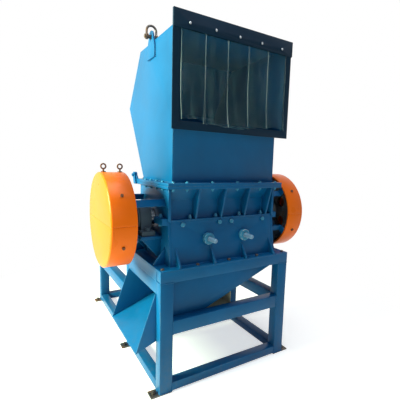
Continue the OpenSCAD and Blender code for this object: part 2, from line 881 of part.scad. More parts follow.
box_w = 170;
box_h = 70;
shield_t = 26;
fan_len = 130;
module motor_body() {
    color("cadetblue") place() {
        across(motor_x0 + fan_len, motor_len - fan_len - shield_t) difference() {
            translate([motor_y, motor_z]) union() {
                circle(r = motor_r, $fn = 96);
                for (k = [0:1:fins - 1]) rotate(k * 360 / fins)
                    translate([motor_r - fin_t, -fin_t / 2]) square([fin_h + fin_t, fin_t]);
            }
            translate([motor_y, motor_z]) circle(r = motor_shaft_r + run_gap);
        }
        translate([motor_x1 - shield_t, motor_y, motor_z]) rotate([0, 90, 0]) difference() {
            cylinder(h = shield_t, r1 = shield_r, r2 = shield_r - shield_t, $fn = 96);
            translate([0, 0, -over]) cylinder(h = shield_t + 2 * over, r = motor_shaft_r + run_gap);
        }
        translate([motor_x0, motor_y, motor_z]) rotate([0, 90, 0]) difference() {
            cylinder(h = fan_len, r = shield_r, $fn = 96);
            translate([0, 0, shield_t]) cylinder(h = fan_len, r = shield_r - guard_t, $fn = 96);
        }
        for (x = motor_rail_x, side = [-1, 1])
            block([x - foot_w / 2, motor_y + side * motor_foot_gap / 2 - foot_w / 2, frame_h + rail_h],
                  [x + foot_w / 2, motor_y + side * motor_foot_gap / 2 + foot_w / 2,
                   frame_h + rail_h + foot_h]);
        for (x = motor_rail_x) across(x - foot_h / 2, foot_h) difference() {
            polygon([
                [motor_y - motor_foot_gap / 2 - foot_h, frame_h + rail_h + foot_h],
                [motor_y + motor_foot_gap / 2 + foot_h, frame_h + rail_h + foot_h],
                [motor_y + motor_r * foot_top_share, motor_z],
                [motor_y - motor_r * foot_top_share, motor_z]
            ]);
            translate([motor_y, motor_z]) circle(r = motor_r - fin_t, $fn = 96);
        }
        block([motor_x1 - shield_t - box_w - box_h, motor_y - box_w / 2, motor_z + motor_r + fin_t],
              [motor_x1 - shield_t - box_h, motor_y + box_w / 2, motor_z + motor_r + box_h]);
    }
}

module motor_shaft() {
    color(steel) place()
        x_rod(motor_x0 + fan_len + fin_h, pulley_x + pulley_w, motor_y, motor_z, motor_shaft_r);
}

// Round guards, split at the shaft
guard_lip = 14;
guard_seam = 0.5;
module guard_profile(depth) {
    rotate_extrude($fn = 128) polygon([
        [0, depth - guard_t], [guard_r - 2 * guard_t, depth - guard_t],
        [guard_r - guard_t, depth - 2 * guard_t], [guard_r - guard_t, guard_t],
        [guard_r - guard_lip, guard_t], [guard_r - guard_lip, 0], [guard_r, 0],
        [guard_r, depth - 2 * guard_t], [guard_r - 2 * guard_t, depth], [0, depth]
    ]);
}

module upper_half() {
    intersection() {
        children();
        translate([-guard_left_out * 2, -frame_d, shaft_z + guard_seam])
            cube([4 * guard_left_out, 4 * frame_d, 2 * guard_r]);
    }
}

module lower_half() {
    intersection() {
        children();
        translate([-guard_left_out * 2, -frame_d, shaft_z - 2 * guard_r])
            cube([4 * guard_left_out, 4 * frame_d, 2 * guard_r]);
    }
}

module left_guard() {
    translate([-guard_left_in, mid_y, shaft_z]) rotate([0, -90, 0])
        guard_profile(guard_left_out - guard_left_in);
}

module left_guard_upper() {
    color(orange) place() upper_half() left_guard();
}

module left_guard_lower() {
    color(orange) place() lower_half() left_guard();
}

// The right guard runs back round the motor's pulley
cover_gap = 45;
cover_r = motor_pulley_r + cover_gap;
module right_guard() {
    depth = guard_right_out - guard_right_in;
    difference() {
        across(guard_right_in, depth) loop_outline(guard_r, cover_r);
        across(guard_right_in + guard_t, depth - 2 * guard_t)
            loop_outline(guard_r - guard_t, cover_r - guard_t);
        across(guard_right_in - over, guard_t + 2 * over)
            loop_outline(guard_r - guard_lip, cover_r - guard_lip);
    }
}

module right_guard_upper() {
    color(orange) place() upper_half() right_guard();
}

module right_guard_lower() {
    color(orange) place() lower_half() right_guard();
}

// Arms that carry the guards, by the angle of each round the shaft
arm_r = 252;
arm_w = 50;
left_arms = [150, 30, -30];
right_arms = [-150, -95, 140];

module guard_arm(angle, reach) {
    translate([half_c, mid_y, shaft_z]) rotate([angle, 0, 0]) {
        translate([0, arm_r - arm_t / 2, -arm_w / 2]) cube([reach - half_c + arm_t, arm_t, arm_w]);
        translate([reach - half_c + guard_t, arm_r - arm_t / 2, -arm_w / 2])
            cube([arm_t, guard_r - guard_t - arm_r + arm_t / 2 - arm_seat, arm_w]);
    }
}
arm_seat = 1.3;

module guard_arms() {
    color(blue) place() {
        mirror([1, 0, 0]) for (a = left_arms) guard_arm(a, guard_left_in);
        for (a = right_arms) guard_arm(a, guard_right_in);
    }
}

// Eye bolts on the left guard and the bolt heads on both drums
eye_out_gap = 34;
eye_in_gap = 20;
eye_x = [-(guard_left_out - eye_out_gap), -(guard_left_in + eye_in_gap)];
eye_r = 16;
eye_stem_r = 6;
eye_bar = 5;
eye_stem = 22;
rim_bolt_r = 11;
rim_bolt_angles = [145, -155];

module guard_fittings() {
    color("saddlebrown") place() {
        for (x = eye_x) translate([x, mid_y, shaft_z + guard_r]) {
            cylinder(h = eye_stem, r = eye_stem_r);
            cylinder(h = eye_bar, r = eye_r);
            translate([0, 0, eye_stem + eye_r]) rotate([90, 0, 0])
                rotate_extrude() translate([eye_r, 0]) circle(r = eye_bar, $fn = 32);
        }
        for (a = rim_bolt_angles, x = [-(guard_left_in + guard_left_out) / 2,
                                        (guard_right_in + guard_right_out) / 2])
            translate([x, mid_y, shaft_z]) rotate([a, 0, 0])
                translate([0, guard_r, 0]) rotate([-90, 0, 0])
                    cylinder(h = bolt_head_h, r = rim_bolt_r, $fn = 6);
    }
}

// Hopper
hopper_z = upper_top_z + 2 * flange_t;
sill_z = mouth_z + border_low - sheet_t;
mouth_t = sheet_t;
mouth_back_y = mouth_y + mouth_t;
outline = [
    [hopper_y, hopper_z], [hopper_y, sill_z], [mouth_back_y, sill_z], [mouth_back_y, roof_z],
    [roof_rear_y, roof_z], [bulge_y, bulge_z], [hopper_rear_y, hopper_z]
];
function inward(a, b) = let (d = (b - a) / norm(b - a)) [d[1], -d[0]];
function corner(i) = let (
    m = inward(outline[i - 1], outline[i]), n = inward(outline[i], outline[i + 1])
) outline[i] + sheet_t * (m + n) / (1 + m * n);
function foot_corner() = let (
    n = inward(outline[5], outline[6]), d = outline[6] - outline[5], p = outline[6] + sheet_t * n
) p + d * (hopper_z - p[1]) / d[1];

hinge_gap = 1;
module hopper_flange() {
    color(blue) place() difference() {
        block([-half_f + hinge_gap, flange_y, hopper_z - flange_t],
              [half_f - hinge_gap, flange_rear_y, hopper_z]);
        block([-half_h + sheet_t, hopper_y + sheet_t, hopper_z - flange_t - over],
              [half_h - sheet_t, hopper_rear_y - flange_margin, hopper_z + over]);
    }
}

module hopper_sides() {
    color(blue) place() both_sides() {
        across(half_h - sheet_t, sheet_t) polygon(outline);
        difference() {
            across(half_h, lug_t) lug_outline();
            x_rod(half_h - over, half_h + lug_t + over, lug_y, lug_z, lug_hole_r);
        }
        difference() {
            across(half_f - 2 * hinge_gap - ear_t, ear_t) ear_outline(hopper_z);
            x_rod(0, half_f, hinge_y, hinge_z, pin_r + run_gap);
        }
    }
}

// Lifting lug welded to each side
lug_t = 12;
lug_y = 467;
lug_z = 2446;
lug_half = 70;
lug_top_half = 42;
lug_foot_z = 2300;
lug_hole_r = 13;
module lug_outline() {
    translate([lug_y, lug_z]) circle(r = lug_top_half);
    polygon([
        [lug_y - lug_half, lug_foot_z], [lug_y + lug_half, lug_foot_z],
        [lug_y + lug_half, roof_z - lug_top_half], [lug_y + lug_top_half, lug_z],
        [lug_y - lug_top_half, lug_z], [lug_y - lug_half, roof_z - lug_top_half]
    ]);
}

// Shackles that stand over the lugs, each on a pin through its lug's hole
bow_r = 36;
bow_bar = 8;
bow_leg = 40;
bow_eye_r = 20;
bow_pin_out = 8;
module shackle(side) {
    pin_half = bow_r + bow_bar + bow_pin_out;
    translate([side * (half_h + lug_t / 2), lug_y, lug_z]) {
        x_rod(-pin_half, pin_half, 0, 0, lug_hole_r - run_gap);
        for (leg = [-1, 1]) {
            x_rod(leg * bow_r - bow_bar, leg * bow_r + bow_bar, 0, 0, bow_eye_r);
            translate([leg * bow_r, 0, 0]) cylinder(h = bow_leg, r = bow_bar);
        }
        translate([0, 0, bow_leg]) difference() {
            rotate([90, 0, 0]) rotate_extrude()
                translate([bow_r, 0]) circle(r = bow_bar, $fn = 32);
            translate([-2 * bow_r, -2 * bow_r, -4 * bow_r]) cube(4 * bow_r);
        }
    }
}

module shackle_left() {
    color(dark) place() shackle(-1);
}

module shackle_right() {
    color(dark) place() shackle(1);
}

// Rear hinge: an ear on each side of the hopper and one beside it on the chamber
ear_t = 12;
ear_half = 24;
pin_r = 12;
pin_out = 4;
hinge_out = 6;
hinge_rise = 30;
hinge_y = flange_rear_y + hinge_out;
hinge_z = hopper_z + hinge_rise;
module ear_outline(foot_z) {
    translate([hinge_y, hinge_z]) circle(r = ear_half);
    polygon([
        [flange_rear_y - 2 * ear_half, foot_z], [flange_rear_y, foot_z],
        [hinge_y + ear_half, hinge_z], [hinge_y - ear_half, hinge_z]
    ]);
}

module hinge_ears() {
    color(blue) place() both_sides() {
        difference() {
            across(half_f, ear_t) ear_outline(upper_top_z);
            x_rod(0, flange_w, hinge_y, hinge_z, pin_r);
        }
        x_rod(half_f - hinge_gap - ear_t - pin_out, half_f + 2 * ear_t, hinge_y, hinge_z, pin_r);
    }
}

module hopper_front_wall() {
    color(blue) place() across(-half_h + sheet_t, hopper_w - 2 * sheet_t) polygon([
        outline[0], outline[1], outline[2], outline[2] + [0, sheet_t], corner(1),
        outline[0] + [sheet_t, 0]
    ]);
}

module hopper_back_wall() {
    color(blue) place() across(-half_h + sheet_t, hopper_w - 2 * sheet_t)
        polygon([outline[4], outline[5], outline[6], foot_corner(), corner(5), corner(4)]);
}

module hopper_roof() {
    color(blue) place() across(-half_h + sheet_t, hopper_w - 2 * sheet_t)
        polygon([outline[3], outline[4], corner(4), outline[3] - [0, sheet_t]]);
}

// Black mouth frame with the bar that clamps the curtain
clamp_t = 5;
curtain_gap = 3;
screw_head_r = 9;
clamp_screw_pitch = 188;
strip_back_y = mouth_y - curtain_gap;
strip_front_y = strip_back_y - strip_t;
opening_top = mouth_top_z - border_top;
opening_low = mouth_z + border_low;

module mouth_frame() {
    color("midnightblue") place() {
        difference() {
            block([-half_m, mouth_y, mouth_z], [half_m, mouth_back_y, mouth_top_z]);
            block([-opening_w / 2, mouth_y - over, opening_low],
                  [opening_w / 2, mouth_back_y + over, opening_top]);
        }
        block([-half_m, strip_front_y - clamp_t, opening_top], [half_m, mouth_y, mouth_top_z]);
        for (i = [-2:1:2]) y_rod(i * clamp_screw_pitch, strip_front_y - clamp_t - clamp_t,
            strip_front_y - clamp_t, opening_top + border_top / 3, screw_head_r);
    }
}

// Curtain strips, hung edge to edge under the clamp
strips = 5;
strip_gap = 3;
strip_pitch = opening_w / strips;
strip_rise = 4;
strip_play = 0.3;
strip_axis_z = opening_top - strip_play - strip_t / 2;
module strip(i) {
    x = -opening_w / 2 + (i - 1) * strip_pitch;
    y = (strip_front_y + strip_back_y) / 2;
    block([x + strip_gap / 2, strip_front_y, opening_low + strip_rise],
          [x + strip_pitch - strip_gap / 2, strip_back_y, strip_axis_z]);
    x_rod(x + strip_gap / 2, x + strip_pitch - strip_gap / 2, y, strip_axis_z, strip_t / 2);
}

module curtain_strip_1() {
    color("darkseagreen", 0.5) place() strip(1);
}

module curtain_strip_2() {
    color("darkseagreen", 0.5) place() strip(2);
}

module curtain_strip_3() {
    color("darkseagreen", 0.5) place() strip(3);
}

module curtain_strip_4() {
    color("darkseagreen", 0.5) place() strip(4);
}

module curtain_strip_5() {
    color("darkseagreen", 0.5) place() strip(5);
}

foot_plates();
frame_legs();
top_rails();
middle_rails();
bottom_rails();
motor_beams();
chute_hanger();
chute_sides();
chute_floor();
chute_shelf();
foot_flange();
lower_walls();
lower_side_walls();
foot_gussets();
bed_knife_seats();
bed_knives();
screen();
screen_cradle();
jack_screw_left();
jack_screw_right();
jack_collars();
wall_bolts();
split_flanges();
split_bolts();
upper_walls();
upper_side_walls();
upper_ribs();
chamber_flange();
bearing_brackets();
bearing_blocks();
rotor_shaft();
rotor_segments();
rotor_knives();
flywheel();
big_pulley();
motor_rails();
motor_body();
motor_shaft();
motor_pulley();
drive_belts();
left_guard_upper();
left_guard_lower();
right_guard_upper();
right_guard_lower();
guard_arms();
guard_fittings();
hinge_ears();
hopper_flange();
hopper_sides();
hopper_front_wall();
hopper_back_wall();
hopper_roof();
mouth_frame();
curtain_strip_1();
curtain_strip_2();
curtain_strip_3();
curtain_strip_4();
curtain_strip_5();
shackle_left();
shackle_right();
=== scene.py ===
import json
import math

import bmesh
import bpy
from mathutils import Matrix, Vector

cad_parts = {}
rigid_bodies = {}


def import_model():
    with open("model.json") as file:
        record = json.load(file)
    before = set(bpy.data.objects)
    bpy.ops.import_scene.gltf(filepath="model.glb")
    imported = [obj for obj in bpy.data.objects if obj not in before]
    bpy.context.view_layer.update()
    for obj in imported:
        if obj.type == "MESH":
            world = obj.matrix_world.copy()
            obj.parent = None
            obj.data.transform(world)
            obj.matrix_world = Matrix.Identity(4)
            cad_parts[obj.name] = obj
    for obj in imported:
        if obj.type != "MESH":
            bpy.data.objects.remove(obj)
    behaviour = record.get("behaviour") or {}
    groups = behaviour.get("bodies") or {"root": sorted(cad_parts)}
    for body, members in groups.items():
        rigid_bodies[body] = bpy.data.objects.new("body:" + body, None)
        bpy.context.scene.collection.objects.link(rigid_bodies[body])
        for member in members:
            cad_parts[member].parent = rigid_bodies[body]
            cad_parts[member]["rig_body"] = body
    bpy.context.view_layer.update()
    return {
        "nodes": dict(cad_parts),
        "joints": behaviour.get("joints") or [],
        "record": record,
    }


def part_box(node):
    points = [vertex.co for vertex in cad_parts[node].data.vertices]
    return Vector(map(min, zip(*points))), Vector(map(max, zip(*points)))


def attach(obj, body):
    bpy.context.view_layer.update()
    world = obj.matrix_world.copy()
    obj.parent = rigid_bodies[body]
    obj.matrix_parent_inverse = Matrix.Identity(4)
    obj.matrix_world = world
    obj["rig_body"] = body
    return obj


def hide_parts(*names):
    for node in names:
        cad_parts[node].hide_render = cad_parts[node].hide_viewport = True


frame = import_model()
nodes = frame["nodes"]
print("stage: frame loaded with", len(nodes), "nodes")


# places are in millimetres from the middle of the frame's front edge, on the floor
origin = {"x": 50, "y": 873}


def at(x, y, z):
    # machine millimetres to metres in the shared frame
    return Vector(((x + origin["x"]) / 1000, (y - origin["y"]) / 1000, z / 1000))


def machinePlace(point):
    # metres in the shared frame to machine millimetres
    x, y, z = (1000 * v for v in point)
    return round(x - origin["x"], 1), round(y + origin["y"], 1), round(z, 1)


def span(node):
    # the lowest and the highest corner of a CAD node
    low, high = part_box(node)
    return machinePlace(low), machinePlace(high)


def jointPlace(name):
    return next(machinePlace(joint["pos_m"]) for joint in frame["joints"] if joint["name"] == name)


# camera
camera = {"place": (-1.2612, -2.6886, 1.5468), "yaw": 31.17, "pitch": -7.15, "roll": 1.55,
          "lens": 28.54, "sensor": 36, "shift": (-0.0204, 0.0126), "reach": 200}


def makeCamera(c):
    yaw, pitch, roll = (math.radians(c[k]) for k in ("yaw", "pitch", "roll"))
    forward = Vector((math.sin(yaw) * math.cos(pitch), math.cos(yaw) * math.cos(pitch), math.sin(pitch)))
    level = Vector((math.cos(yaw), -math.sin(yaw), 0))
    over = level.cross(forward)
    right = math.cos(roll) * level + math.sin(roll) * over
    up = math.cos(roll) * over - math.sin(roll) * level
    data = bpy.data.cameras.new("photoCamera")
    data.lens = c["lens"]
    data.sensor_width = c["sensor"]
    data.shift_x, data.shift_y = c["shift"]
    data.clip_end = c["reach"]
    obj = bpy.data.objects.new("photoCamera", data)
    turn = Matrix((right, up, -forward)).transposed().to_4x4()
    obj.matrix_world = Matrix.Translation(c["place"]) @ turn
    bpy.context.scene.collection.objects.link(obj)
    bpy.context.scene.camera = obj


makeCamera(camera)


# shader helpers
def paint(red, green, blue):
    # a colour as a screen shows it, 0 to 255, to the linear values that nodes take
    def linear(v):
        v /= 255
        return v / 12.92 if v <= 0.04045 else ((v + 0.055) / 1.055) ** 2.4
    return (linear(red), linear(green), linear(blue), 1)


def addNode(tree, kind, place, values=None, **settings):
    made = tree.nodes.new(kind)
    made.location = place
    for key, value in settings.items():
        setattr(made, key, value)
    for key, value in (values or {}).items():
        made.inputs[key].default_value = value
    return made


def startGroup(name, inputs, outputs):
    group = bpy.data.node_groups.new(name, "ShaderNodeTree")
    kinds = {"colour": "NodeSocketColor", "value": "NodeSocketFloat", "vector": "NodeSocketVector"}
    for label, kind, start in inputs:
        socket = group.interface.new_socket(name=label, in_out="INPUT", socket_type=kinds[kind])
        if start is not None:
            socket.default_value = start
    for label, kind in outputs:
        group.interface.new_socket(name=label, in_out="OUTPUT", socket_type=kinds[kind])
    entry = group.nodes.new("NodeGroupInput")
    entry.location = (-1200, 0)
    leave = group.nodes.new("NodeGroupOutput")
    leave.location = (900, 0)
    return group, entry, leave


def noise(tree, coords, place, scale, detail=4.0, rough=0.55, stretch=None):
    if stretch:
        mapping = addNode(tree, "ShaderNodeMapping", (place[0] - 200, place[1]))
        mapping.inputs["Scale"].default_value = stretch
        tree.links.new(coords, mapping.inputs["Vector"])
        coords = mapping.outputs["Vector"]
    made = addNode(tree, "ShaderNodeTexNoise", place, {"Scale": scale, "Detail": detail, "Roughness": rough})
    tree.links.new(coords, made.inputs["Vector"])
    return made.outputs["Fac"]


def ramp(tree, source, place, low, high, start=0.0, end=1.0):
    made = addNode(tree, "ShaderNodeMapRange", place,
                   {"From Min": low, "From Max": high, "To Min": start, "To Max": end})
    made.clamp = True
    tree.links.new(source, made.inputs["Value"])
    return made.outputs["Result"]


def math2(tree, operation, a, b, place):
    made = addNode(tree, "ShaderNodeMath", place, operation=operation)
    for socket, value in zip(made.inputs, (a, b)):
        if isinstance(value, (int, float)):
            socket.default_value = value
        else:
            tree.links.new(value, socket)
    return made.outputs[0]


def blendColour(tree, fac, a, b, place, kind="MIX"):
    made = addNode(tree, "ShaderNodeMix", place, data_type="RGBA", blend_type=kind)
    for socket, value in ((made.inputs[0], fac), (made.inputs[6], a), (made.inputs[7], b)):
        if isinstance(value, (int, float, tuple)):
            socket.default_value = value
        else:
            tree.links.new(value, socket)
    return made.outputs[2]


# shader groups that several finishes share
def makePaintGroup():
    # sprayed paint: cloudy film, orange peel, chipped corners, dust and floor dirt
    g, entry, leave = startGroup("sprayedPaint", [
        ("Paint", "colour", (0.1, 0.3, 0.6, 1)), ("Bare", "colour", paint(96, 92, 88)),
        ("Dirt", "colour", paint(96, 88, 74)), ("Cloud", "value", 0.15), ("Chips", "value", 0.5),
        ("Dirt Amount", "value", 0.3), ("Sheen Rough", "value", 0.34),
    ], [("Colour", "colour"), ("Roughness", "value"), ("Height", "value"), ("Bare Metal", "value")])
    coords = addNode(g, "ShaderNodeTexCoord", (-1400, -300)).outputs["Object"]
    cloud = noise(g, coords, (-900, 500), 2.3, 3.0)
    light = ramp(g, cloud, (-700, 500), 0.3, 0.7, -1.0, 1.0)
    shade = math2(g, "MULTIPLY", light, entry.outputs["Cloud"], (-500, 500))
    value = addNode(g, "ShaderNodeHueSaturation", (-300, 500))
    g.links.new(entry.outputs["Paint"], value.inputs["Color"])
    g.links.new(math2(g, "ADD", shade, 1.0, (-400, 350)), value.inputs["Value"])
    # runs of dust down the plates
    runs = noise(g, coords, (-900, 250), 6.0, 5.0, 0.6, (3.0, 3.0, 0.35))
    film = ramp(g, runs, (-700, 250), 0.52, 0.78)
    low = addNode(g, "ShaderNodeSeparateXYZ", (-1100, 0))
    g.links.new(coords, low.inputs[0])
    nearFloor = ramp(g, low.outputs["Z"], (-900, 0), 0.0, 0.45, 1.0, 0.12)
    speck = ramp(g, noise(g, coords, (-900, -150), 38.0, 6.0, 0.65), (-700, -150), 0.45, 0.75)
    grime = math2(g, "MULTIPLY", math2(g, "ADD", film, speck, (-500, 0)), nearFloor, (-400, 0))
    grime = math2(g, "MULTIPLY", grime, entry.outputs["Dirt Amount"], (-250, 0))
    dirty = blendColour(g, grime, value.outputs["Color"], entry.outputs["Dirt"], (-50, 300))
    # chips on the corners, where the bevels carry the attribute cornerWear
    corner = addNode(g, "ShaderNodeAttribute", (-900, -400), attribute_name="cornerWear")
    flakes = noise(g, coords, (-900, -600), 55.0, 4.0, 0.7)
    patches = noise(g, coords, (-900, -800), 4.5, 2.0)
    broken = math2(g, "ADD", flakes, math2(g, "MULTIPLY", patches, 0.6, (-700, -800)), (-600, -600))
    limit = ramp(g, broken, (-450, -600), 0.84, 0.9)
    chip = math2(g, "MULTIPLY", corner.outputs["Fac"], limit, (-250, -500))
    scratch = noise(g, coords, (-900, -1000), 9.0, 8.0, 0.75, (1.0, 1.0, 7.0))
    fine = ramp(g, scratch, (-700, -1000), 0.78, 0.82, 0.0, 0.2)
    chip = math2(g, "MAXIMUM", chip, fine, (-120, -600))
    chip = math2(g, "MULTIPLY", chip, entry.outputs["Chips"], (0, -500))
    g.links.new(blendColour(g, chip, dirty, entry.outputs["Bare"], (200, 200)), leave.inputs["Colour"])
    g.links.new(chip, leave.inputs["Bare Metal"])
    dull = math2(g, "MULTIPLY", grime, 0.5, (200, -50))
    rough = math2(g, "ADD", entry.outputs["Sheen Rough"], dull, (350, -50))
    rough = math2(g, "ADD", rough, ramp(g, cloud, (200, -250), 0.3, 0.7, -0.05, 0.07), (500, -50))
    g.links.new(rough, leave.inputs["Roughness"])
    peel = noise(g, coords, (-900, -1200), 420.0, 2.0, 0.5)
    plate = noise(g, coords, (-900, -1400), 7.0, 2.0, 0.5)
    height = math2(g, "ADD", math2(g, "MULTIPLY", peel, 0.08, (0, -900)), plate, (200, -950))
    height = math2(g, "SUBTRACT", height, math2(g, "MULTIPLY", chip, 0.35, (200, -1100)), (400, -950))
    g.links.new(height, leave.inputs["Height"])
    return g


def makeMetalGroup():
    # turned, ground or rusted metal: fine lines, stains and brown oxide
    g, entry, leave = startGroup("workedMetal", [
        ("Metal", "colour", (0.6, 0.6, 0.6, 1)), ("Oxide", "colour", paint(104, 62, 38)),
        ("Stretch", "vector", (1.0, 1.0, 1.0)), ("Lines", "value", 0.3), ("Rust", "value", 0.2),
        ("Rough", "value", 0.35),
    ], [("Colour", "colour"), ("Roughness", "value"), ("Height", "value"), ("Clean", "value")])
    coords = addNode(g, "ShaderNodeTexCoord", (-1400, -300)).outputs["Object"]
    mapping = addNode(g, "ShaderNodeMapping", (-1150, 200))
    g.links.new(coords, mapping.inputs["Vector"])
    g.links.new(entry.outputs["Stretch"], mapping.inputs["Scale"])
    lines = noise(g, mapping.outputs["Vector"], (-900, 200), 160.0, 4.0, 0.7)
    stain = noise(g, coords, (-900, 0), 11.0, 6.0, 0.62)
    pits = noise(g, coords, (-900, -200), 90.0, 5.0, 0.7)
    rusty = math2(g, "ADD", stain, math2(g, "MULTIPLY", pits, 0.35, (-700, -200)), (-600, -100))
    limit = math2(g, "SUBTRACT", 1.0, entry.outputs["Rust"], (-700, -350))
    mask = addNode(g, "ShaderNodeMapRange", (-400, -100))
    mask.clamp = True
    g.links.new(rusty, mask.inputs["Value"])
    g.links.new(limit, mask.inputs["From Min"])
    g.links.new(math2(g, "ADD", limit, 0.14, (-550, -350)), mask.inputs["From Max"])
    rust = mask.outputs["Result"]
    light = ramp(g, lines, (-700, 200), 0.3, 0.7, -1.0, 1.0)
    shade = math2(g, "MULTIPLY", light, entry.outputs["Lines"], (-500, 200))
    tone = addNode(g, "ShaderNodeHueSaturation", (-300, 300))
    g.links.new(entry.outputs["Metal"], tone.inputs["Color"])
    bright = math2(g, "ADD", math2(g, "MULTIPLY", shade, 0.5, (-450, 400)), 1.0, (-350, 400))
    g.links.new(bright, tone.inputs["Value"])
    colour = blendColour(g, rust, tone.outputs["Color"], entry.outputs["Oxide"], (0, 200))
    g.links.new(colour, leave.inputs["Colour"])
    rough = math2(g, "ADD", entry.outputs["Rough"], math2(g, "MULTIPLY", shade, 0.25, (0, 0)), (150, 0))
    rough = math2(g, "ADD", rough, math2(g, "MULTIPLY", rust, 0.35, (150, -150)), (300, 0))
    g.links.new(rough, leave.inputs["Roughness"])
    pitted = math2(g, "MULTIPLY", math2(g, "MULTIPLY", rust, pits, (0, -500)), 0.8, (150, -500))
    height = math2(g, "ADD", math2(g, "MULTIPLY", lines, 0.1, (0, -350)), pitted, (300, -400))
    g.links.new(height, leave.inputs["Height"])
    g.links.new(math2(g, "SUBTRACT", 1.0, rust, (300, -600)), leave.inputs["Clean"])
    return g


paintGroup = makePaintGroup()
metalGroup = makeMetalGroup()


def startMaterial(name):
    material = bpy.data.materials.new(name)
    material.use_nodes = True
    tree = material.node_tree
    shader = tree.nodes["Principled BSDF"]
    return material, tree, shader


def addBump(tree, height, shader, strength, distance):
    bump = addNode(tree, "ShaderNodeBump", (-250, -300), {"Strength": strength, "Distance": distance})
    tree.links.new(height, bump.inputs["Height"])
    tree.links.new(bump.outputs["Normal"], shader.inputs["Normal"])


def groupMaterial(name, nodeGroup, values, metalFrom, metalShare, bump, bumpDepth):
    # a finish whose colour, roughness and height come from one of the shared groups
    material, tree, shader = startMaterial(name)
    group = addNode(tree, "ShaderNodeGroup", (-600, 0), values, node_tree=nodeGroup)
    tree.links.new(group.outputs["Colour"], shader.inputs["Base Color"])
    tree.links.new(group.outputs["Roughness"], shader.inputs["Roughness"])
    metallic = math2(tree, "MULTIPLY", group.outputs[metalFrom], metalShare, (-350, -100))
    tree.links.new(metallic, shader.inputs["Metallic"])
    addBump(tree, group.outputs["Height"], shader, bump, bumpDepth)
    return material, shader


def paintMaterial(name, colour, rough, cloud, chips, dirt, bare=None, bump=0.35, gloss=0.18):
    values = {"Paint": colour, "Cloud": cloud, "Chips": chips, "Dirt Amount": dirt, "Sheen Rough": rough}
    if bare:
        values["Bare"] = bare
    material, shader = groupMaterial(name, paintGroup, values, "Bare Metal", 0.7, bump, 0.002)
    shader.inputs["Specular IOR Level"].default_value = gloss
    return material


def metalMaterial(name, colour, rough, lines, rust, stretch=(1, 1, 1), metallic=1.0):
    values = {"Metal": colour, "Lines": lines, "Rust": rust, "Rough": rough, "Stretch": stretch}
    return groupMaterial(name, metalGroup, values, "Clean", metallic, 0.3, 0.001)[0]


def rubberMaterial():
    material, tree, shader = startMaterial("beltRubber")
    coords = addNode(tree, "ShaderNodeTexCoord", (-1100, 0)).outputs["Object"]
    dust = ramp(tree, noise(tree, coords, (-900, 100), 30.0, 5.0), (-700, 100), 0.45, 0.8)
    colour = blendColour(tree, dust, paint(26, 25, 25), paint(70, 68, 66), (-450, 100))
    tree.links.new(colour, shader.inputs["Base Color"])
    weave = noise(tree, coords, (-900, -200), 600.0, 2.0)
    addBump(tree, weave, shader, 0.3, 0.0008)
    shader.inputs["Roughness"].default_value = 0.7
    return material


def curtainMaterial():
    # soft clear vinyl over the dark inside: rubbed and dusty patches, and a painted highlight along the cut
    # edges
    material, tree, shader = startMaterial("clearVinyl")
    coords = addNode(tree, "ShaderNodeTexCoord", (-1300, 0)).outputs["Object"]
    haze = noise(tree, coords, (-1000, 200), 9.0, 5.0, 0.6, (1.6, 1.0, 0.4))
    scuff = noise(tree, coords, (-1000, -50), 26.0, 7.0, 0.7, (4.0, 1.0, 0.5))
    edge = addNode(tree, "ShaderNodeAttribute", (-1000, 450), attribute_name="edgeHighlight").outputs["Fac"]
    dust = ramp(tree, haze, (-750, 200), 0.4, 0.75)
    film = blendColour(tree, dust, paint(30, 84, 104), paint(70, 118, 120), (-450, 200))
    # the pale tint along the cut edges is a painted highlight
    tint = blendColour(tree, edge, film, paint(214, 236, 240), (-250, 250))
    tree.links.new(tint, shader.inputs["Base Color"])
    rough = math2(tree, "ADD", ramp(tree, haze, (-750, 0), 0.4, 0.8, 0.03, 0.08),
                  ramp(tree, scuff, (-750, -200), 0.58, 0.8, 0.0, 0.2), (-500, -100))
    tree.links.new(rough, shader.inputs["Roughness"])
    cover = math2(tree, "ADD", ramp(tree, haze, (-750, -400), 0.4, 0.8, 0.1, 0.24),
                  ramp(tree, scuff, (-750, -600), 0.55, 0.8, 0.0, 0.16), (-500, -450))
    # the painted edge highlight also covers more of the strip
    cover = math2(tree, "ADD", cover, math2(tree, "MULTIPLY", edge, 0.55, (-500, -650)), (-350, -500))
    tree.links.new(cover, shader.inputs["Alpha"])
    shader.inputs["IOR"].default_value = 1.5
    addBump(tree, haze, shader, 0.5, 0.004)
    return material


blue, orange, mouthBlue = paint(4, 88, 142), paint(252, 110, 4), paint(4, 36, 58)
finishes = {
    "blue_paint": paintMaterial("bluePaint", blue, 0.36, 0.16, 0.5, 0.22, bare=paint(96, 118, 130)),
    "orange_paint": paintMaterial("orangePaint", orange, 0.3, 0.06, 0.35, 0.1, bare=paint(190, 120, 70)),
    "dark_frame_paint": paintMaterial("mouthPaint", mouthBlue, 0.36, 0.2, 0.3, 0.15,
                                      bare=paint(60, 78, 100), gloss=0.1),
    "slate_casting": paintMaterial("castingPaint", paint(70, 84, 98), 0.5, 0.2, 0.6, 0.6, bump=1.0),
    "motor_paint": paintMaterial("motorPaint", paint(84, 104, 112), 0.45, 0.15, 0.5, 0.5, bump=0.8),
    "beige_sheet": paintMaterial("shelfPaint", paint(182, 168, 142), 0.6, 0.15, 0.8, 0.8),
    "dark_steel": metalMaterial("darkSteel", paint(92, 88, 84), 0.5, 0.25, 0.35),
    "bright_steel": metalMaterial("groundSteel", paint(158, 166, 172), 0.28, 0.35, 0.14, (1, 6, 6)),
    "grey_iron": metalMaterial("turnedIron", paint(140, 140, 140), 0.4, 0.35, 0.3, (8, 1, 1)),
    "rusty_steel": metalMaterial("brownedSteel", paint(122, 92, 74), 0.5, 0.3, 0.48, metallic=0.8),
    "belt_rubber": rubberMaterial(),
    "clear_pvc": curtainMaterial(),
}
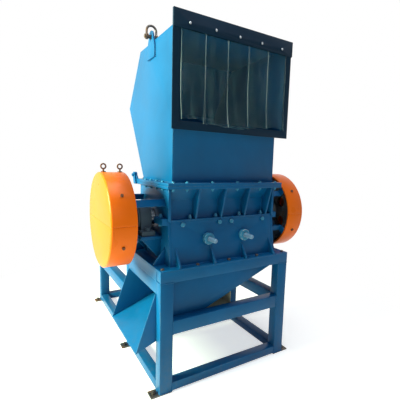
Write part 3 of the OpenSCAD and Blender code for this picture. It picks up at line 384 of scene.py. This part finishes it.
# bolts and collars are painted over and worn bare on some corners, and their lighter blue is a painted
# highlight; the jack rods are darker than ground steel
highlightBoltFinish = paintMaterial("boltPaintHighlight", paint(62, 134, 176), 0.32, 0.1, 1.0, 0.2,
                           bare=paint(178, 190, 198))
rodFinish = metalMaterial("jackSteel", paint(104, 136, 158), 0.36, 0.35, 0.06, (1, 6, 6))
print("stage: finishes made")


# mesh helpers
def placePiece(bm, name, body, finish, angle, widest=math.inf):
    # a piece that rides on a body; faces over the widest area in square metres stay flat
    mesh = bpy.data.meshes.new(name)
    bm.to_mesh(mesh)
    bm.free()
    obj = bpy.data.objects.new(name, mesh)
    bpy.context.scene.collection.objects.link(obj)
    mesh.materials.append(finish)
    for face in mesh.polygons:
        face.use_smooth = face.area < widest
    mesh.set_sharp_from_angle(angle=math.radians(angle))
    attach(obj, body)
    return obj


def finishPiece(bm, name, body, slot, angle, finish=None):
    bmesh.ops.recalc_face_normals(bm, faces=bm.faces)
    return placePiece(bm, name, body, finish or finishes[slot], angle)


def stamp(bm, shape, matrix):
    # a copy of a small finished mesh, put down at a place
    copy = shape.copy()
    copy.transform(matrix)
    bm.from_mesh(copy)
    bpy.data.meshes.remove(copy)


def facing(place, direction, turn=0.0):
    # a matrix that stands a shape's +Z along a direction
    spin = Vector(direction).to_track_quat("Z", "Y").to_matrix().to_4x4()
    return Matrix.Translation(place) @ spin @ Matrix.Rotation(turn, 4, "Z")


def keepShape(bm, name):
    mesh = bpy.data.meshes.new(name)
    bmesh.ops.recalc_face_normals(bm, faces=bm.faces)
    bm.to_mesh(mesh)
    bm.free()
    return mesh


def addCone(bm, r1, r2, depth, segments, low=0.0):
    return bmesh.ops.create_cone(bm, cap_ends=True, segments=segments, radius1=r1, radius2=r2, depth=depth,
                                 matrix=Matrix.Translation((0, 0, low + depth / 2)))["verts"]


# the CAD nodes: every one gets its finish, and the plates and tubes get rounded edges
slotOf = {part["node"]: part["material_slot"] for part in frame["record"]["subparts"]}
for name, obj in nodes.items():
    obj.data.materials.clear()
    obj.data.materials.append(finishes[slotOf[name]])
    for face in obj.data.polygons:
        face.use_smooth = False

# the bolts and collars listed in the softening take the bolt finish, whose lighter blue is a painted
# highlight
softening = {"merge": 0.00002, "flatWithin": 0.6, "cornerFrom": 28, "steps": 2, "smoothWithin": 32,
             "widest": 0.006, "highlightPainted": ("wall_bolts", "split_bolts", "jack_collars")}
# width of the rounding in millimetres, or 0 where the node is only shaded smooth
roundedEdges = {
    "frame_legs": 5, "top_rails": 4, "middle_rails": 5, "bottom_rails": 5, "motor_beams": 5,
    "chute_hanger": 4, "foot_plates": 1.2, "chute_sides": 1.0, "chute_floor": 1.0, "chute_shelf": 1.0,
    "foot_flange": 1.6, "lower_walls": 1.5, "lower_side_walls": 1.8, "foot_gussets": 1.4,
    "bed_knife_seats": 1.2, "bed_knives": 0.6, "jack_collars": 2.5, "split_flanges": 1.6,
    "upper_walls": 1.4, "upper_side_walls": 1.6, "upper_ribs": 1.5, "chamber_flange": 1.6,
    "bearing_brackets": 1.6, "bearing_blocks": 4, "rotor_segments": 1.5, "rotor_knives": 0.8,
    "motor_rails": 2, "hopper_flange": 1.6, "hopper_sides": 1.2, "hopper_front_wall": 1.0,
    "hopper_back_wall": 1.2, "hopper_roof": 1.0, "mouth_frame": 1.2, "guard_arms": 1.2,
    "hinge_ears": 1.2, "left_guard_upper": 1.2, "left_guard_lower": 1.2, "right_guard_upper": 1.2,
    "right_guard_lower": 1.2, "flywheel": 2, "big_pulley": 1.0, "motor_pulley": 1.0, "rotor_shaft": 2,
    "motor_shaft": 1.5, "wall_bolts": 1.2, "split_bolts": 1.2, "shackle_left": 0, "shackle_right": 0,
    "guard_fittings": 0, "motor_body": 0, "screen": 0, "screen_cradle": 1,
}


def softenNode(name, width, s):
    # a copy of a CAD node with its sharp edges rounded, which then stands for the node
    source = nodes[name]
    bm = bmesh.new()
    bm.from_mesh(source.data)
    bmesh.ops.remove_doubles(bm, verts=bm.verts, dist=s["merge"])
    bmesh.ops.dissolve_limit(bm, angle_limit=math.radians(s["flatWithin"]), verts=bm.verts,
                             edges=bm.edges, use_dissolve_boundaries=False)
    # the rounded corners carry the mask that the paint chips by
    wear = bm.loops.layers.float_color.new("cornerWear")
    for face in bm.faces:
        for loop in face.loops:
            loop[wear] = (0, 0, 0, 1)
    if width:
        steep = math.radians(s["cornerFrom"])
        corners = [e for e in bm.edges if len(e.link_faces) == 2 and e.calc_face_angle(0) > steep]
        made = bmesh.ops.bevel(bm, geom=corners, offset=width / 1000, offset_type="OFFSET",
                               segments=s["steps"], profile=0.5, affect="EDGES", clamp_overlap=True,
                               material=-1)
        for face in made["faces"]:
            for loop in face.loops:
                loop[wear] = (1, 1, 1, 1)
    slot = slotOf[name]
    # bolts and collars get the lighter blue of the painted highlight
    finish = highlightBoltFinish if name in s["highlightPainted"] else finishes[slot]
    piece = placePiece(bm, name + "Rounded", source["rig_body"], finish, s["smoothWithin"], s["widest"])
    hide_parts(name)


for name, width in roundedEdges.items():
    softenNode(name, width, softening)
print("stage: edges rounded")


# floor and light
studio = {"floorHalf": 40, "floorShade": 0.9, "lift": 0.6, "fadeFrom": 0.9, "fadeTo": 2.6,
          "ambient": 0.13, "ambientColour": (0.7, 0.9, 1, 1)}


def seenByCamera(tree, x, y):
    # 1 for what the camera sees, be it straight, mirrored or through the vinyl
    rays = addNode(tree, "ShaderNodeLightPath", (x, y))
    seen = math2(tree, "MAXIMUM", rays.outputs["Is Camera Ray"], rays.outputs["Is Glossy Ray"], (x + 200, y))
    return math2(tree, "MAXIMUM", seen, rays.outputs["Is Transmission Ray"], (x + 350, y))


def makeFloor(c):
    bm = bmesh.new()
    bmesh.ops.create_grid(bm, x_segments=4, y_segments=4, size=c["floorHalf"])
    mesh = bpy.data.meshes.new("paleFloor")
    bm.to_mesh(mesh)
    bm.free()
    floor = bpy.data.objects.new("paleFloor", mesh)
    bpy.context.scene.collection.objects.link(floor)
    material, tree, shader = startMaterial("paleFloor")
    shader.inputs["Base Color"].default_value = (c["floorShade"],) * 3 + (1,)
    shader.inputs["Roughness"].default_value = 0.9
    shader.inputs["Specular IOR Level"].default_value = 0.0
    # the camera sees the floor fade to the white backdrop, and only shade near the machine stays
    seen = seenByCamera(tree, -900, 400)
    coords = addNode(tree, "ShaderNodeTexCoord", (-900, 100)).outputs["Object"]
    reach = addNode(tree, "ShaderNodeVectorMath", (-700, 100), operation="LENGTH")
    tree.links.new(coords, reach.inputs[0])
    far = ramp(tree, reach.outputs["Value"], (-500, 100), c["fadeFrom"], c["fadeTo"])
    glow = addNode(tree, "ShaderNodeEmission", (-100, 400), {"Color": (1, 1, 1, 1), "Strength": 1.0})
    lift = addNode(tree, "ShaderNodeEmission", (-100, 250), {"Color": (1, 1, 1, 1)})
    tree.links.new(math2(tree, "MULTIPLY", seen, c["lift"], (-350, 250)), lift.inputs["Strength"])
    near = addNode(tree, "ShaderNodeAddShader", (300, 250))
    tree.links.new(lift.outputs[0], near.inputs[0])
    tree.links.new(shader.outputs[0], near.inputs[1])
    mix = addNode(tree, "ShaderNodeMixShader", (500, 300))
    tree.links.new(math2(tree, "MULTIPLY", seen, far, (-350, 100)), mix.inputs[0])
    tree.links.new(near.outputs[0], mix.inputs[1])
    tree.links.new(glow.outputs[0], mix.inputs[2])
    tree.links.new(mix.outputs[0], tree.nodes["Material Output"].inputs["Surface"])
    mesh.materials.append(material)


def makeWorld(c):
    world = bpy.data.worlds.new("studio")
    bpy.context.scene.world = world
    world.use_nodes = True
    tree = world.node_tree
    tree.nodes.clear()
    ambient = {"Color": c["ambientColour"], "Strength": c["ambient"]}
    lit = addNode(tree, "ShaderNodeBackground", (-200, 0), ambient)
    white = addNode(tree, "ShaderNodeBackground", (-200, -200), {"Color": (1, 1, 1, 1), "Strength": 1.0})
    mix = addNode(tree, "ShaderNodeMixShader", (50, 0))
    tree.links.new(seenByCamera(tree, -800, 200), mix.inputs[0])
    tree.links.new(lit.outputs[0], mix.inputs[1])
    tree.links.new(white.outputs[0], mix.inputs[2])
    out = addNode(tree, "ShaderNodeOutputWorld", (250, 0))
    tree.links.new(mix.outputs[0], out.inputs[0])


lamps = {
    "windowLight": {"place": (-5.4, 0.2, 3.0), "aim": (0, 0, 1.3), "size": 2.0, "power": 1080,
                    "colour": (0.84, 1.0, 0.66)},
    "frontLight": {"place": (-0.6, -5.2, 3.2), "aim": (0, 0, 1.0), "size": 2.6, "power": 24,
                   "colour": (0.7, 0.9, 1.0)},
    "topLight": {"place": (0.2, -0.9, 5.4), "aim": (0, 0, 1.0), "size": 2.4, "power": 120,
                 "colour": (0.95, 0.98, 1.0)},
}


def makeLamp(name, lamp):
    data = bpy.data.lights.new(name, "AREA")
    data.size = lamp["size"]
    data.energy = lamp["power"]
    data.color = lamp["colour"]
    obj = bpy.data.objects.new(name, data)
    obj.location = lamp["place"]
    beam = Vector(lamp["aim"]) - Vector(lamp["place"])
    obj.rotation_euler = beam.to_track_quat("-Z", "Y").to_euler()
    bpy.context.scene.collection.objects.link(obj)


makeFloor(studio)
makeWorld(studio)
for name, lamp in lamps.items():
    makeLamp(name, lamp)
bpy.context.scene.view_settings.view_transform = "Standard"
print("stage: studio made")


# curtain: five clear strips, each bowed across, flared and curled towards its wavy hem
curtain = {
    "thick": 2.2, "overhang": 0.5, "spread": 5, "slope": 2, "reach": -26, "curl": 420, "ripple": 2,
    "hems": (1828, 1806, 1799, 1818, 1827), "hemWave": 6, "bows": (5.4, 7.2, 6, 7.8, 4.8),
    "flares": (6, 14, 20, 12, 5), "leans": (3, -5, 6, 2, -3), "edgeFrom": 0.955, "edgeBlend": 0.035,
}


def edgeHighlight(c, i, u, drop):
    # how bright the painted highlight along the cut edge shows: broken down its length, and weaker on the
    # right, away from the window lamp
    edge = max(0.0, min(1.0, (abs(u) - c["edgeFrom"]) / c["edgeBlend"]))
    return edge * (0.35 + 0.65 * abs(math.sin(3 * drop + i))) * (0.5 if u > 0 else 1)


def stripPoint(c, i, axis, half, u, drop):
    # u runs across from -1 to 1, and drop from 0 at the axis to 1 at the hem
    middle, axisY, axisZ = axis
    across = middle + u * (half + c["overhang"] + c["spread"] * drop) + c["leans"][i] * drop ** 2
    bow = c["bows"][i] * (1 - u * u) * min(1.0, 3 * drop)
    corner = max(0.0, abs(u) - 0.7) ** 1.6 * max(0.0, drop - 0.74)
    curl = c["curl"] * corner * (1 if (i % 2) == (u > 0) else 0.4)
    flare = c["flares"][i] * drop ** 4 * (0.55 + 0.45 * math.sin(2.1 * u + i))
    ripple = c["ripple"] * math.sin(5 * u + 7 * drop + i * 2) * min(1.0, 2 * drop)
    wave = c["hemWave"] * math.cos(2.3 * u + 1.7 * i) * (1 - min(1.0, 6 * (1 - drop)))
    depth = max(c["reach"], axisY - bow - flare - curl - ripple - c["slope"] * drop)
    return at(across, depth, axisZ + drop * (c["hems"][i] - axisZ) + wave)


def makeStrip(c, i):
    bm = bmesh.new()
    bmesh.ops.create_grid(bm, x_segments=22, y_segments=44, size=0.5)
    edge = bm.verts.layers.float.new("edgeHighlight")
    low, high = span("curtain_strip_%d" % (i + 1))
    axis, half = jointPlace("strip_%d_swing" % (i + 1)), (high[0] - low[0]) / 2
    for v in bm.verts:
        u, drop = math.sin(v.co.x * math.pi), 0.5 - v.co.y      # closer rows of points at both edges
        # each point keeps how bright the painted edge highlight is there
        v[edge] = edgeHighlight(c, i, u, drop)
        v.co = stripPoint(c, i, axis, half, u, drop)
    piece = finishPiece(bm, "curtainStrip%d" % (i + 1), "strip_%d" % (i + 1), "clear_pvc", 60)
    sheet = piece.modifiers.new("thickness", "SOLIDIFY")
    sheet.thickness = c["thick"] / 1000
    sheet.offset = 0
    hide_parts("curtain_strip_%d" % (i + 1))


for i in range(len(curtain["hems"])):
    makeStrip(curtain, i)
print("stage: curtain hung")


# shapes that are stamped many times; heads and screws are 1 wide and stand on their seat
def makeHexBolt():
    # a washer and a hexagon with a chamfered top
    bm = bmesh.new()
    addCone(bm, 0.5, 0.5, 0.07, 20)
    head = addCone(bm, 0.42, 0.42, 0.3, 6, 0.07)
    top = [e for e in bm.edges if all(v in head and v.co.z > 0.3 for v in e.verts)]
    bmesh.ops.bevel(bm, geom=top, offset=0.05, segments=1, profile=0.5, affect="EDGES", material=-1)
    return keepShape(bm, "hexBolt")


def makeStudNut():
    # a washer, a hexagon and the stud's chamfered end
    bm = bmesh.new()
    addCone(bm, 0.5, 0.5, 0.07, 20)
    addCone(bm, 0.42, 0.42, 0.36, 6, 0.07)
    addCone(bm, 0.21, 0.21, 0.24, 12, 0.43)
    addCone(bm, 0.21, 0.14, 0.05, 12, 0.67)
    return keepShape(bm, "studNut")


def makeDomeScrew():
    # a low dome with a hexagon on top
    bm = bmesh.new()
    bmesh.ops.create_uvsphere(bm, u_segments=16, v_segments=10, radius=0.5)
    bmesh.ops.bisect_plane(bm, geom=bm.verts[:] + bm.edges[:] + bm.faces[:], plane_co=(0, 0, 0),
                           plane_no=(0, 0, 1), clear_inner=True)
    bmesh.ops.scale(bm, vec=(1, 1, 0.6), verts=bm.verts)
    bmesh.ops.contextual_create(bm, geom=[e for e in bm.edges if e.is_boundary])
    addCone(bm, 0.17, 0.17, 0.03, 6, 0.29)
    return keepShape(bm, "domeScrew")


def makeBeadPiece():
    # one length of weld, 1 long and 1 wide: overlapping ripples on a half-round bead, along +X
    bm = bmesh.new()
    bmesh.ops.create_grid(bm, x_segments=24, y_segments=6, size=0.5)
    for v in bm.verts:
        along, angle = v.co.x + 0.5, math.pi * (v.co.y + 0.5)
        ripple = 1 + 0.13 * abs(math.sin(along * math.pi * 8))
        v.co = Vector((along, -math.cos(angle) * 0.5 * ripple, math.sin(angle) * 0.42 * ripple))
    return keepShape(bm, "beadPiece")


def turned(profile, steps, closed=False):
    # a profile of (radius, height) pairs in millimetres, spun round Z
    bm = bmesh.new()
    verts = [bm.verts.new((radius / 1000, 0, height / 1000)) for radius, height in profile]
    edges = [bm.edges.new(pair) for pair in zip(verts, verts[1:] + (verts[:1] if closed else []))]
    bmesh.ops.spin(bm, geom=verts + edges, cent=(0, 0, 0), axis=(0, 0, 1), angle=2 * math.pi, steps=steps,
                   use_merge=True)
    bmesh.ops.remove_doubles(bm, verts=bm.verts, dist=0.000001)
    return keepShape(bm, "turned")


def addBlock(bm, low, high, edge):
    # a plate between two corners, with its edges broken
    made = bmesh.ops.create_cube(bm, size=1)["verts"]
    bmesh.ops.scale(bm, vec=at(*high) - at(*low), verts=made)
    bmesh.ops.translate(bm, vec=(at(*low) + at(*high)) / 2, verts=made)
    bmesh.ops.bevel(bm, geom=list({e for v in made for e in v.link_edges}), offset=edge / 1000,
                    offset_type="OFFSET", segments=2, profile=0.5, affect="EDGES", clamp_overlap=True,
                    material=-1)


shapes = {"bolt": makeHexBolt(), "nut": makeStudNut(), "dome": makeDomeScrew(), "bead": makeBeadPiece()}


def boltRow(bm, shape, places, direction, width):
    # each one is turned on from the last, so that the hexagons don't line up
    for i, place in enumerate(places):
        turn = facing(at(*place), direction, 0.4 + 1.7 * i)
        stamp(bm, shapes[shape], turn @ Matrix.Scale(width / 1000, 4))


def weldBead(bm, start, end, out, width):
    # a bead along a joint; out points away from the corner that it fills
    start = at(*start)
    line = at(*end) - start
    count = max(1, round(1000 * line.length / welds["piece"]))
    along = line.normalized()
    side = Vector(out).cross(along).normalized()
    up = along.cross(side).normalized()
    step = Matrix((line / count, side * width / 1000, up * width / 1000)).transposed().to_4x4()
    for i in range(count):
        stamp(bm, shapes["bead"], Matrix.Translation(start + line * i / count) @ step)


def weldLine(bm, x, points, outs, width):
    # beads at one x through points in depth and height
    for (y0, z0), (y1, z1), out in zip(points, points[1:], outs):
        weldBead(bm, (x, y0, z0), (x, y1, z1), out, width)


# welds: the widths of the beads, and the length of one stamped piece
welds = {"piece": 60, "frame": 7, "deck": 8, "lowerCorner": 6, "upperCorner": 7, "rib": 6, "collar": 6,
         "hopper": 7, "lug": 6, "mouth": 3}
legs = {"depth": 74, "width": 92}


def legFronts():
    # the front faces of the three pairs of legs; the middle pair ends where the foot flange does
    bay, depth = span("foot_flange")[1][1], span("top_rails")[1][1]
    return 0, bay - legs["depth"], depth - legs["depth"]


def makeFrameWelds(w):
    (_, _, railLow), (half, _, _) = span("top_rails")
    (_, _, middleLow), (_, _, middleTop) = span("middle_rails")
    bottomTop, footTop = span("bottom_rails")[1][2], span("foot_plates")[1][2]
    bm = bmesh.new()
    for side in (-1, 1):
        outer, inner = side * half, side * (half - legs["width"])
        for front in legFronts():
            back = front + legs["depth"]
            # middle and bottom rails to the inside of the leg
            for z, rise in ((middleLow, -1), (middleTop, 1), (bottomTop, 1)):
                weldBead(bm, (inner, front, z), (inner, back, z), (-side, 0, rise), w["frame"])
            # top rails to the top of the leg
            weldBead(bm, (outer, front, railLow), (inner, front, railLow), (0, -1, -0.4), w["frame"])
            weldBead(bm, (outer, front, railLow), (outer, back, railLow), (side, 0, -0.4), w["frame"])
            for low, high in ((footTop, bottomTop), (middleLow, middleTop)):
                weldBead(bm, (inner, front, low), (inner, front, high), (0, -1, 0), w["frame"])
            # leg to its foot plate
            weldBead(bm, (inner, front, footTop), (outer, front, footTop), (0, -1, 1), w["frame"])
            weldBead(bm, (outer, front, footTop), (outer, back, footTop), (side, 0, 1), w["frame"])
    finishPiece(bm, "frameWelds", "machine", "blue_paint", 60)


# the lines that the beads of the chamber follow, in depth and height, on its front
chamber = {
    "lowerCorner": ((59.5, 864), (103.5, 1160)), "upperCorner": ((157, 1172), (157, 1302), (95, 1376)),
    "rib": ((157, 1174), (157, 1302), (90, 1382)), "ribFoot": ((110, 1172), (155, 1172)),
    "gusset": ((60, 864), (77.5, 982)), "gussetFoot": ((4, 862), (58, 862)),
    "ribs": 4, "gussets": 4, "gussetPitch": 274, "plateHalf": 7, "slopeOut": 5, "collarFoot": 84.6,
    "collarSteps": 16,
}


def makeChamberWelds(w, c):
    (_, front, deck), (wallHalf, rear, split) = span("lower_walls")
    (_, upperFront, _), (half, upperRear, top) = span("upper_side_walls")
    bm = bmesh.new()
    weldBead(bm, (-half, front, deck), (half, front, deck), (0, -1, 1), w["deck"])
    for side in (-1, 1):
        outer, corner = side * half, side * wallHalf
        weldBead(bm, (outer, front, deck), (outer, rear, deck), (side, 0, 1), w["deck"])
        weldLine(bm, corner, c["lowerCorner"], [(0, -1, 0.1)], w["lowerCorner"])
        weldBead(bm, (outer, upperFront, top), (outer, upperRear, top), (side, 0, -1), w["deck"])
        weldLine(bm, corner, c["upperCorner"], [(-side, -1, 0)] * 2, w["upperCorner"])
    # both sides of the ribs and of the gussets
    plate = c["plateHalf"]
    ribFirst, ribLast = span("upper_ribs")[0][0] + plate, span("upper_ribs")[1][0] - plate
    ribs = [ribFirst + i * (ribLast - ribFirst) / (c["ribs"] - 1) for i in range(c["ribs"])]
    gussets = [(i - (c["gussets"] - 1) / 2) * c["gussetPitch"] for i in range(c["gussets"])]
    for edge in (-plate, plate):
        for x in ribs:
            weldLine(bm, x + edge, c["rib"], [(edge, -plate, 0), (edge, -c["slopeOut"], 0)], w["rib"])
            weldLine(bm, x + edge, c["ribFoot"], [(edge, 0, plate)], w["rib"])
        for x in gussets:
            weldLine(bm, x + edge, c["gusset"], [(edge, -plate, 0)], w["rib"])
            weldLine(bm, x + edge, c["gussetFoot"], [(edge, 0, plate)], w["rib"])
    # rings of beads round the collars, on the wall that leans back
    lean = (span("split_flanges")[0][1] - front) / (split - deck)
    (_, _, low), (_, _, high) = span("jack_collars")
    radius = (high - low) / 2
    for joint in ("jack_left_slide", "jack_right_slide"):
        x, _, z = jointPlace(joint)
        turns = [2 * math.pi * k / c["collarSteps"] for k in range(c["collarSteps"] + 1)]
        ring = [(x + radius * math.cos(a), c["collarFoot"] + radius * math.sin(a) * lean,
                 z + radius * math.sin(a)) for a in turns]
        for a, start, end in zip(turns, ring, ring[1:]):
            weldBead(bm, start, end, (math.cos(a), -1, math.sin(a)), w["collar"])
    finishPiece(bm, "chamberWelds", "machine", "blue_paint", 60)


hopper = {"sheet": 6, "rear": 640, "seatRise": 1, "cornerLow": 5, "cornerTop": 8,
          "lugHalf": 70, "lugThick": 12, "lugLow": 2300, "lugTop": 2372, "lugProud": 1}


def makeHopperWelds(w, h):
    (_, _, low), (inner, front, top) = span("hopper_front_wall")
    half, front, seat = inner + h["sheet"], front - h["sheet"], low + h["seatRise"]
    lugY = jointPlace("shackle_left_swing")[1]
    lugRear, lugFront = lugY + h["lugHalf"], lugY - h["lugHalf"]
    bm = bmesh.new()
    for side in (-1, 1):
        x, lugX, edgeX = side * half, side * (half + h["lugThick"]), side * (half + h["lugProud"])
        weldBead(bm, (x, front, seat), (x, h["rear"], seat), (side, 0, 1), w["hopper"])
        weldBead(bm, (lugX, lugFront, h["lugLow"]), (lugX, lugRear, h["lugLow"]), (side, 0, -1), w["lug"])
        for y, out in ((lugFront, -1), (lugRear, 1)):
            weldBead(bm, (edgeX, y, h["lugLow"]), (edgeX, y, h["lugTop"]), (side, out, 0), w["lug"])
        corner = ((front, low + h["cornerLow"]), (front, top - h["cornerTop"]))
        weldLine(bm, side * inner, corner, [(0, -1, 0)], w["mouth"])
    weldBead(bm, (-half, front, seat), (half, front, seat), (0, -1, 1), w["hopper"])
    finishPiece(bm, "hopperWelds", "hopper", "blue_paint", 60)


makeFrameWelds(welds)
makeChamberWelds(welds, chamber)
makeHopperWelds(welds, hopper)
print("stage: welds laid")


# bolts: widths over the washer, and their places across and in depth
bolts = {
    "joint": 26, "jointFront": (-440, -340, -140, 73, 286, 440), "jointFrontY": 66,
    "jointRear": (-420, -280, -140, 0, 140, 280, 420), "jointRearY": 680,
    "jointSide": (190, 300, 410, 520), "jointSideX": 463,
    "deck": 28, "deckX": (-524, -262, 0, 262, 524), "deckY": (36, 706),
    "anchor": 34, "anchorX": (-582, 582), "anchorY": (37, 705, 1739),
    "motorFoot": 34, "motorX": (20, 350), "motorFootY": (1171, 1471), "motorFootTop": 924,
    "motorRail": 30, "motorRailY": (1112, 1530),
    "clamp": 17, "clampPitch": 188, "clampBorder": 104,
}


def makeJointBolts(b):
    # hopper joint: bolts through both flanges, heads on the hopper and nuts under the chamber's flange
    places = [(x, b["jointFrontY"]) for x in b["jointFront"]] + [(x, b["jointRearY"]) for x in b["jointRear"]]
    places += [(side * b["jointSideX"], y) for side in (-1, 1) for y in b["jointSide"]]
    headSeat, nutSeat = span("hopper_flange")[1][2], span("chamber_flange")[0][2]
    heads, nuts = bmesh.new(), bmesh.new()
    boltRow(heads, "bolt", [(x, y, headSeat) for x, y in places], (0, 0, 1), b["joint"])
    boltRow(nuts, "nut", [(x, y, nutSeat) for x, y in places], (0, 0, -1), b["joint"])
    # heads and nuts take the bolt finish, whose lighter blue is a painted highlight
    finishPiece(heads, "hopperJointBolts", "hopper", "blue_paint", 40, highlightBoltFinish)
    finishPiece(nuts, "hopperJointNuts", "machine", "blue_paint", 40, highlightBoltFinish)


def makeFrameBolts(b):
    # foot flange to the frame, floor anchors, motor feet and motor rails
    rows = (
        ("bolt", "deck", "deckX", "deckY", span("foot_flange")[1][2]),
        ("nut", "anchor", "anchorX", "anchorY", span("foot_plates")[1][2]),
        ("nut", "motorFoot", "motorX", "motorFootY", b["motorFootTop"]),
        ("bolt", "motorRail", "motorX", "motorRailY", span("motor_rails")[1][2]),
    )
    bm = bmesh.new()
    for shape, width, across, deep, seat in rows:
        boltRow(bm, shape, [(x, y, seat) for x in b[across] for y in b[deep]], (0, 0, 1), b[width])
    finishPiece(bm, "frameBolts", "machine", "dark_steel", 40)


def makeClampScrews(b):
    # a row in the bar that holds the curtain, two thirds down the mouth's top border
    (_, front, _), (_, _, top) = span("mouth_frame")
    z = top - b["clampBorder"] * 2 / 3
    bm = bmesh.new()
    places = [(b["clampPitch"] * i, front, z) for i in (-2, -1, 0, 1, 2)]
    boltRow(bm, "dome", places, (0, -1, 0), b["clamp"])
    finishPiece(bm, "clampScrews", "hopper", "bright_steel", 50)


makeJointBolts(bolts)
makeFrameBolts(bolts)
makeClampScrews(bolts)
print("stage: bolts placed")


# jack screws: threaded rods with a chamfered tip, each in place of its plain rod
jacks = {"radius": 16, "root": 13.9, "pitch": 4.5, "threaded": 96, "tip": 4, "chamfer": 3, "shank": 15.9,
         "facets": 32}


def jackProfile(j, length):
    root, radius, pitch, tip = j["root"], j["radius"], j["pitch"], j["tip"]
    profile = [(0, 0), (root - j["chamfer"], 0), (root, tip - 1)]
    turns = math.ceil((j["threaded"] - tip) / pitch)
    for k in range(turns):
        z = tip + k * pitch
        profile += [(radius, z + 0.3 * pitch), (radius, z + 0.55 * pitch),
                    (root, z + 0.85 * pitch), (root, z + pitch)]
    end = tip + turns * pitch
    return profile + [(j["shank"], end + 1), (j["shank"], length - 1), (radius - 1, length), (0, length)]


def makeJackScrew(j, name):
    low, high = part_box("jack_screw_" + name)
    tip = Vector(((low[0] + high[0]) / 2, low[1], (low[2] + high[2]) / 2))
    rod = turned(jackProfile(j, 1000 * (high[1] - low[1])), j["facets"])
    bm = bmesh.new()
    stamp(bm, rod, facing(tip, (0, 1, 0)))
    piece = finishPiece(bm, "jackThread" + name.capitalize(), "jack_" + name, "bright_steel", 30, rodFinish)
    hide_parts("jack_screw_" + name)


for name in ("left", "right"):
    makeJackScrew(jacks, name)
print("stage: jack screws threaded")


# closed ends of the top rails, set a little inside the tubes
railEnds = {"lining": 5.3, "inset": 1.5, "thick": 5, "edge": 0.8}


def makeRailEnds(r):
    (_, _, low), (half, _, high) = span("top_rails")
    bm = bmesh.new()
    for front in legFronts():
        for side in (-1, 1):
            near, far = sorted(side * (half - r["inset"] - t) for t in (0, r["thick"]))
            addBlock(bm, (near, front + r["lining"], low + r["lining"]),
                     (far, front + legs["depth"] - r["lining"], high - r["lining"]), r["edge"])
    finishPiece(bm, "topRailEnds", "machine", "blue_paint", 35)


makeRailEnds(railEnds)
print("stage: rails closed")


# plummer blocks: seals round the shaft and a grease nipple on each cap
blocks = {"seal": 74, "shaft": 50.6, "nippleX": 552, "sink": 0.3}


def makeBlockDetails(b):
    bore, seal = b["shaft"], b["seal"]
    lip = [(bore, 0), (seal, 0), (seal - 1, 4), (seal - 12, 7), (bore + 3, 7), (bore, 5)]
    ring = turned(lip, 48, closed=True)
    nipple = turned([(0, 0), (6, 0), (6, 6), (3.6, 7), (3.6, 11), (4.8, 13), (4.4, 16), (2, 18), (0, 18)], 16)
    outer, _, capTop = span("bearing_blocks")[1]
    _, shaftY, shaftZ = jointPlace("rotor_spin")
    seals, nipples = bmesh.new(), bmesh.new()
    for side in (-1, 1):
        stamp(seals, ring, facing(at(side * outer, shaftY, shaftZ), (side, 0, 0)))
        stamp(nipples, nipple, facing(at(side * b["nippleX"], shaftY, capTop - b["sink"]), (0, 0, 1)))
    finishPiece(seals, "shaftSeals", "machine", "dark_steel", 30)
    finishPiece(nipples, "greaseNipples", "machine", "bright_steel", 30)


makeBlockDetails(blocks)


# motor: guard over the fan, lifting eye, screws on the terminal box
motorTrim = {
    "rings": (42, 68, 94, 120, 146, 172, 196), "ringHalf": 2.5, "spokes": 8, "spoke": (155, 6, 3), "hub": 44,
    "eyeX": 120, "eyeFoot": 1338, "eyeMiddle": 1377, "eyeRadius": 26, "eyeRod": 6, "eyeFacets": 14,
    "screw": 14, "screwX": (218, 360), "screwY": (1250, 1392),
}


def makeSpoke(t):
    # a flat bar from the hub to the outer ring, lying along +X
    length, width, thick = (v / 1000 for v in t["spoke"])
    bm = bmesh.new()
    made = bmesh.ops.create_cube(bm, size=1)["verts"]
    bmesh.ops.scale(bm, vec=(length, width, thick), verts=made)
    bmesh.ops.translate(bm, vec=(t["rings"][-1] / 1000 - length / 2, 0, thick / 2), verts=made)
    return keepShape(bm, "spoke")


def makeFanGrille(t, fan):
    bm = bmesh.new()
    half = t["ringHalf"]
    for r in t["rings"]:
        wire = [(r - half, 0), (r + half, 0), (r + half, 2.4), (r + 1.5, 3.6), (r - 1.5, 3.6),
                (r - half, 2.4)]
        stamp(bm, turned(wire, 72, closed=True), fan)
    spoke = makeSpoke(t)
    for i in range(t["spokes"]):
        stamp(bm, spoke, fan @ Matrix.Rotation(2 * math.pi * i / t["spokes"], 4, "Z"))
    hub = t["hub"]
    stamp(bm, turned([(0, 0), (hub, 0), (hub, 2.5), (hub - 3, 4), (0, 4)], 48), fan)
    finishPiece(bm, "fanGrille", "machine", "slate_casting", 30)


def makeLiftingEye(t, motorY):
    rod, facets = t["eyeRod"], t["eyeFacets"]
    turns = [2 * math.pi * k / facets for k in range(facets)]
    eye = turned([(t["eyeRadius"] + rod * math.cos(a), rod * math.sin(a)) for a in turns], 32, closed=True)
    foot = turned([(0, 0), (16, 0), (16, 5), (9, 8), (8, 14), (0, 14)], 24)
    bm = bmesh.new()
    stamp(bm, eye, facing(at(t["eyeX"], motorY, t["eyeMiddle"]), (1, 0, 0)))
    stamp(bm, foot, facing(at(t["eyeX"], motorY, t["eyeFoot"]), (0, 0, 1)))
    finishPiece(bm, "motorLiftingEye", "machine", "dark_steel", 30)


def makeTerminalScrews(t, lid):
    bm = bmesh.new()
    boltRow(bm, "dome", [(x, y, lid) for x in t["screwX"] for y in t["screwY"]], (0, 0, 1), t["screw"])
    finishPiece(bm, "terminalBoxScrews", "machine", "bright_steel", 50)


_, motorY, motorZ = jointPlace("motor_spin")
(fanX, _, _), (_, _, lidTop) = span("motor_body")
makeFanGrille(motorTrim, facing(at(fanX, motorY, motorZ), (-1, 0, 0)))
makeLiftingEye(motorTrim, motorY)
makeTerminalScrews(motorTrim, lidTop)
print("stage: motor and bearings dressed")
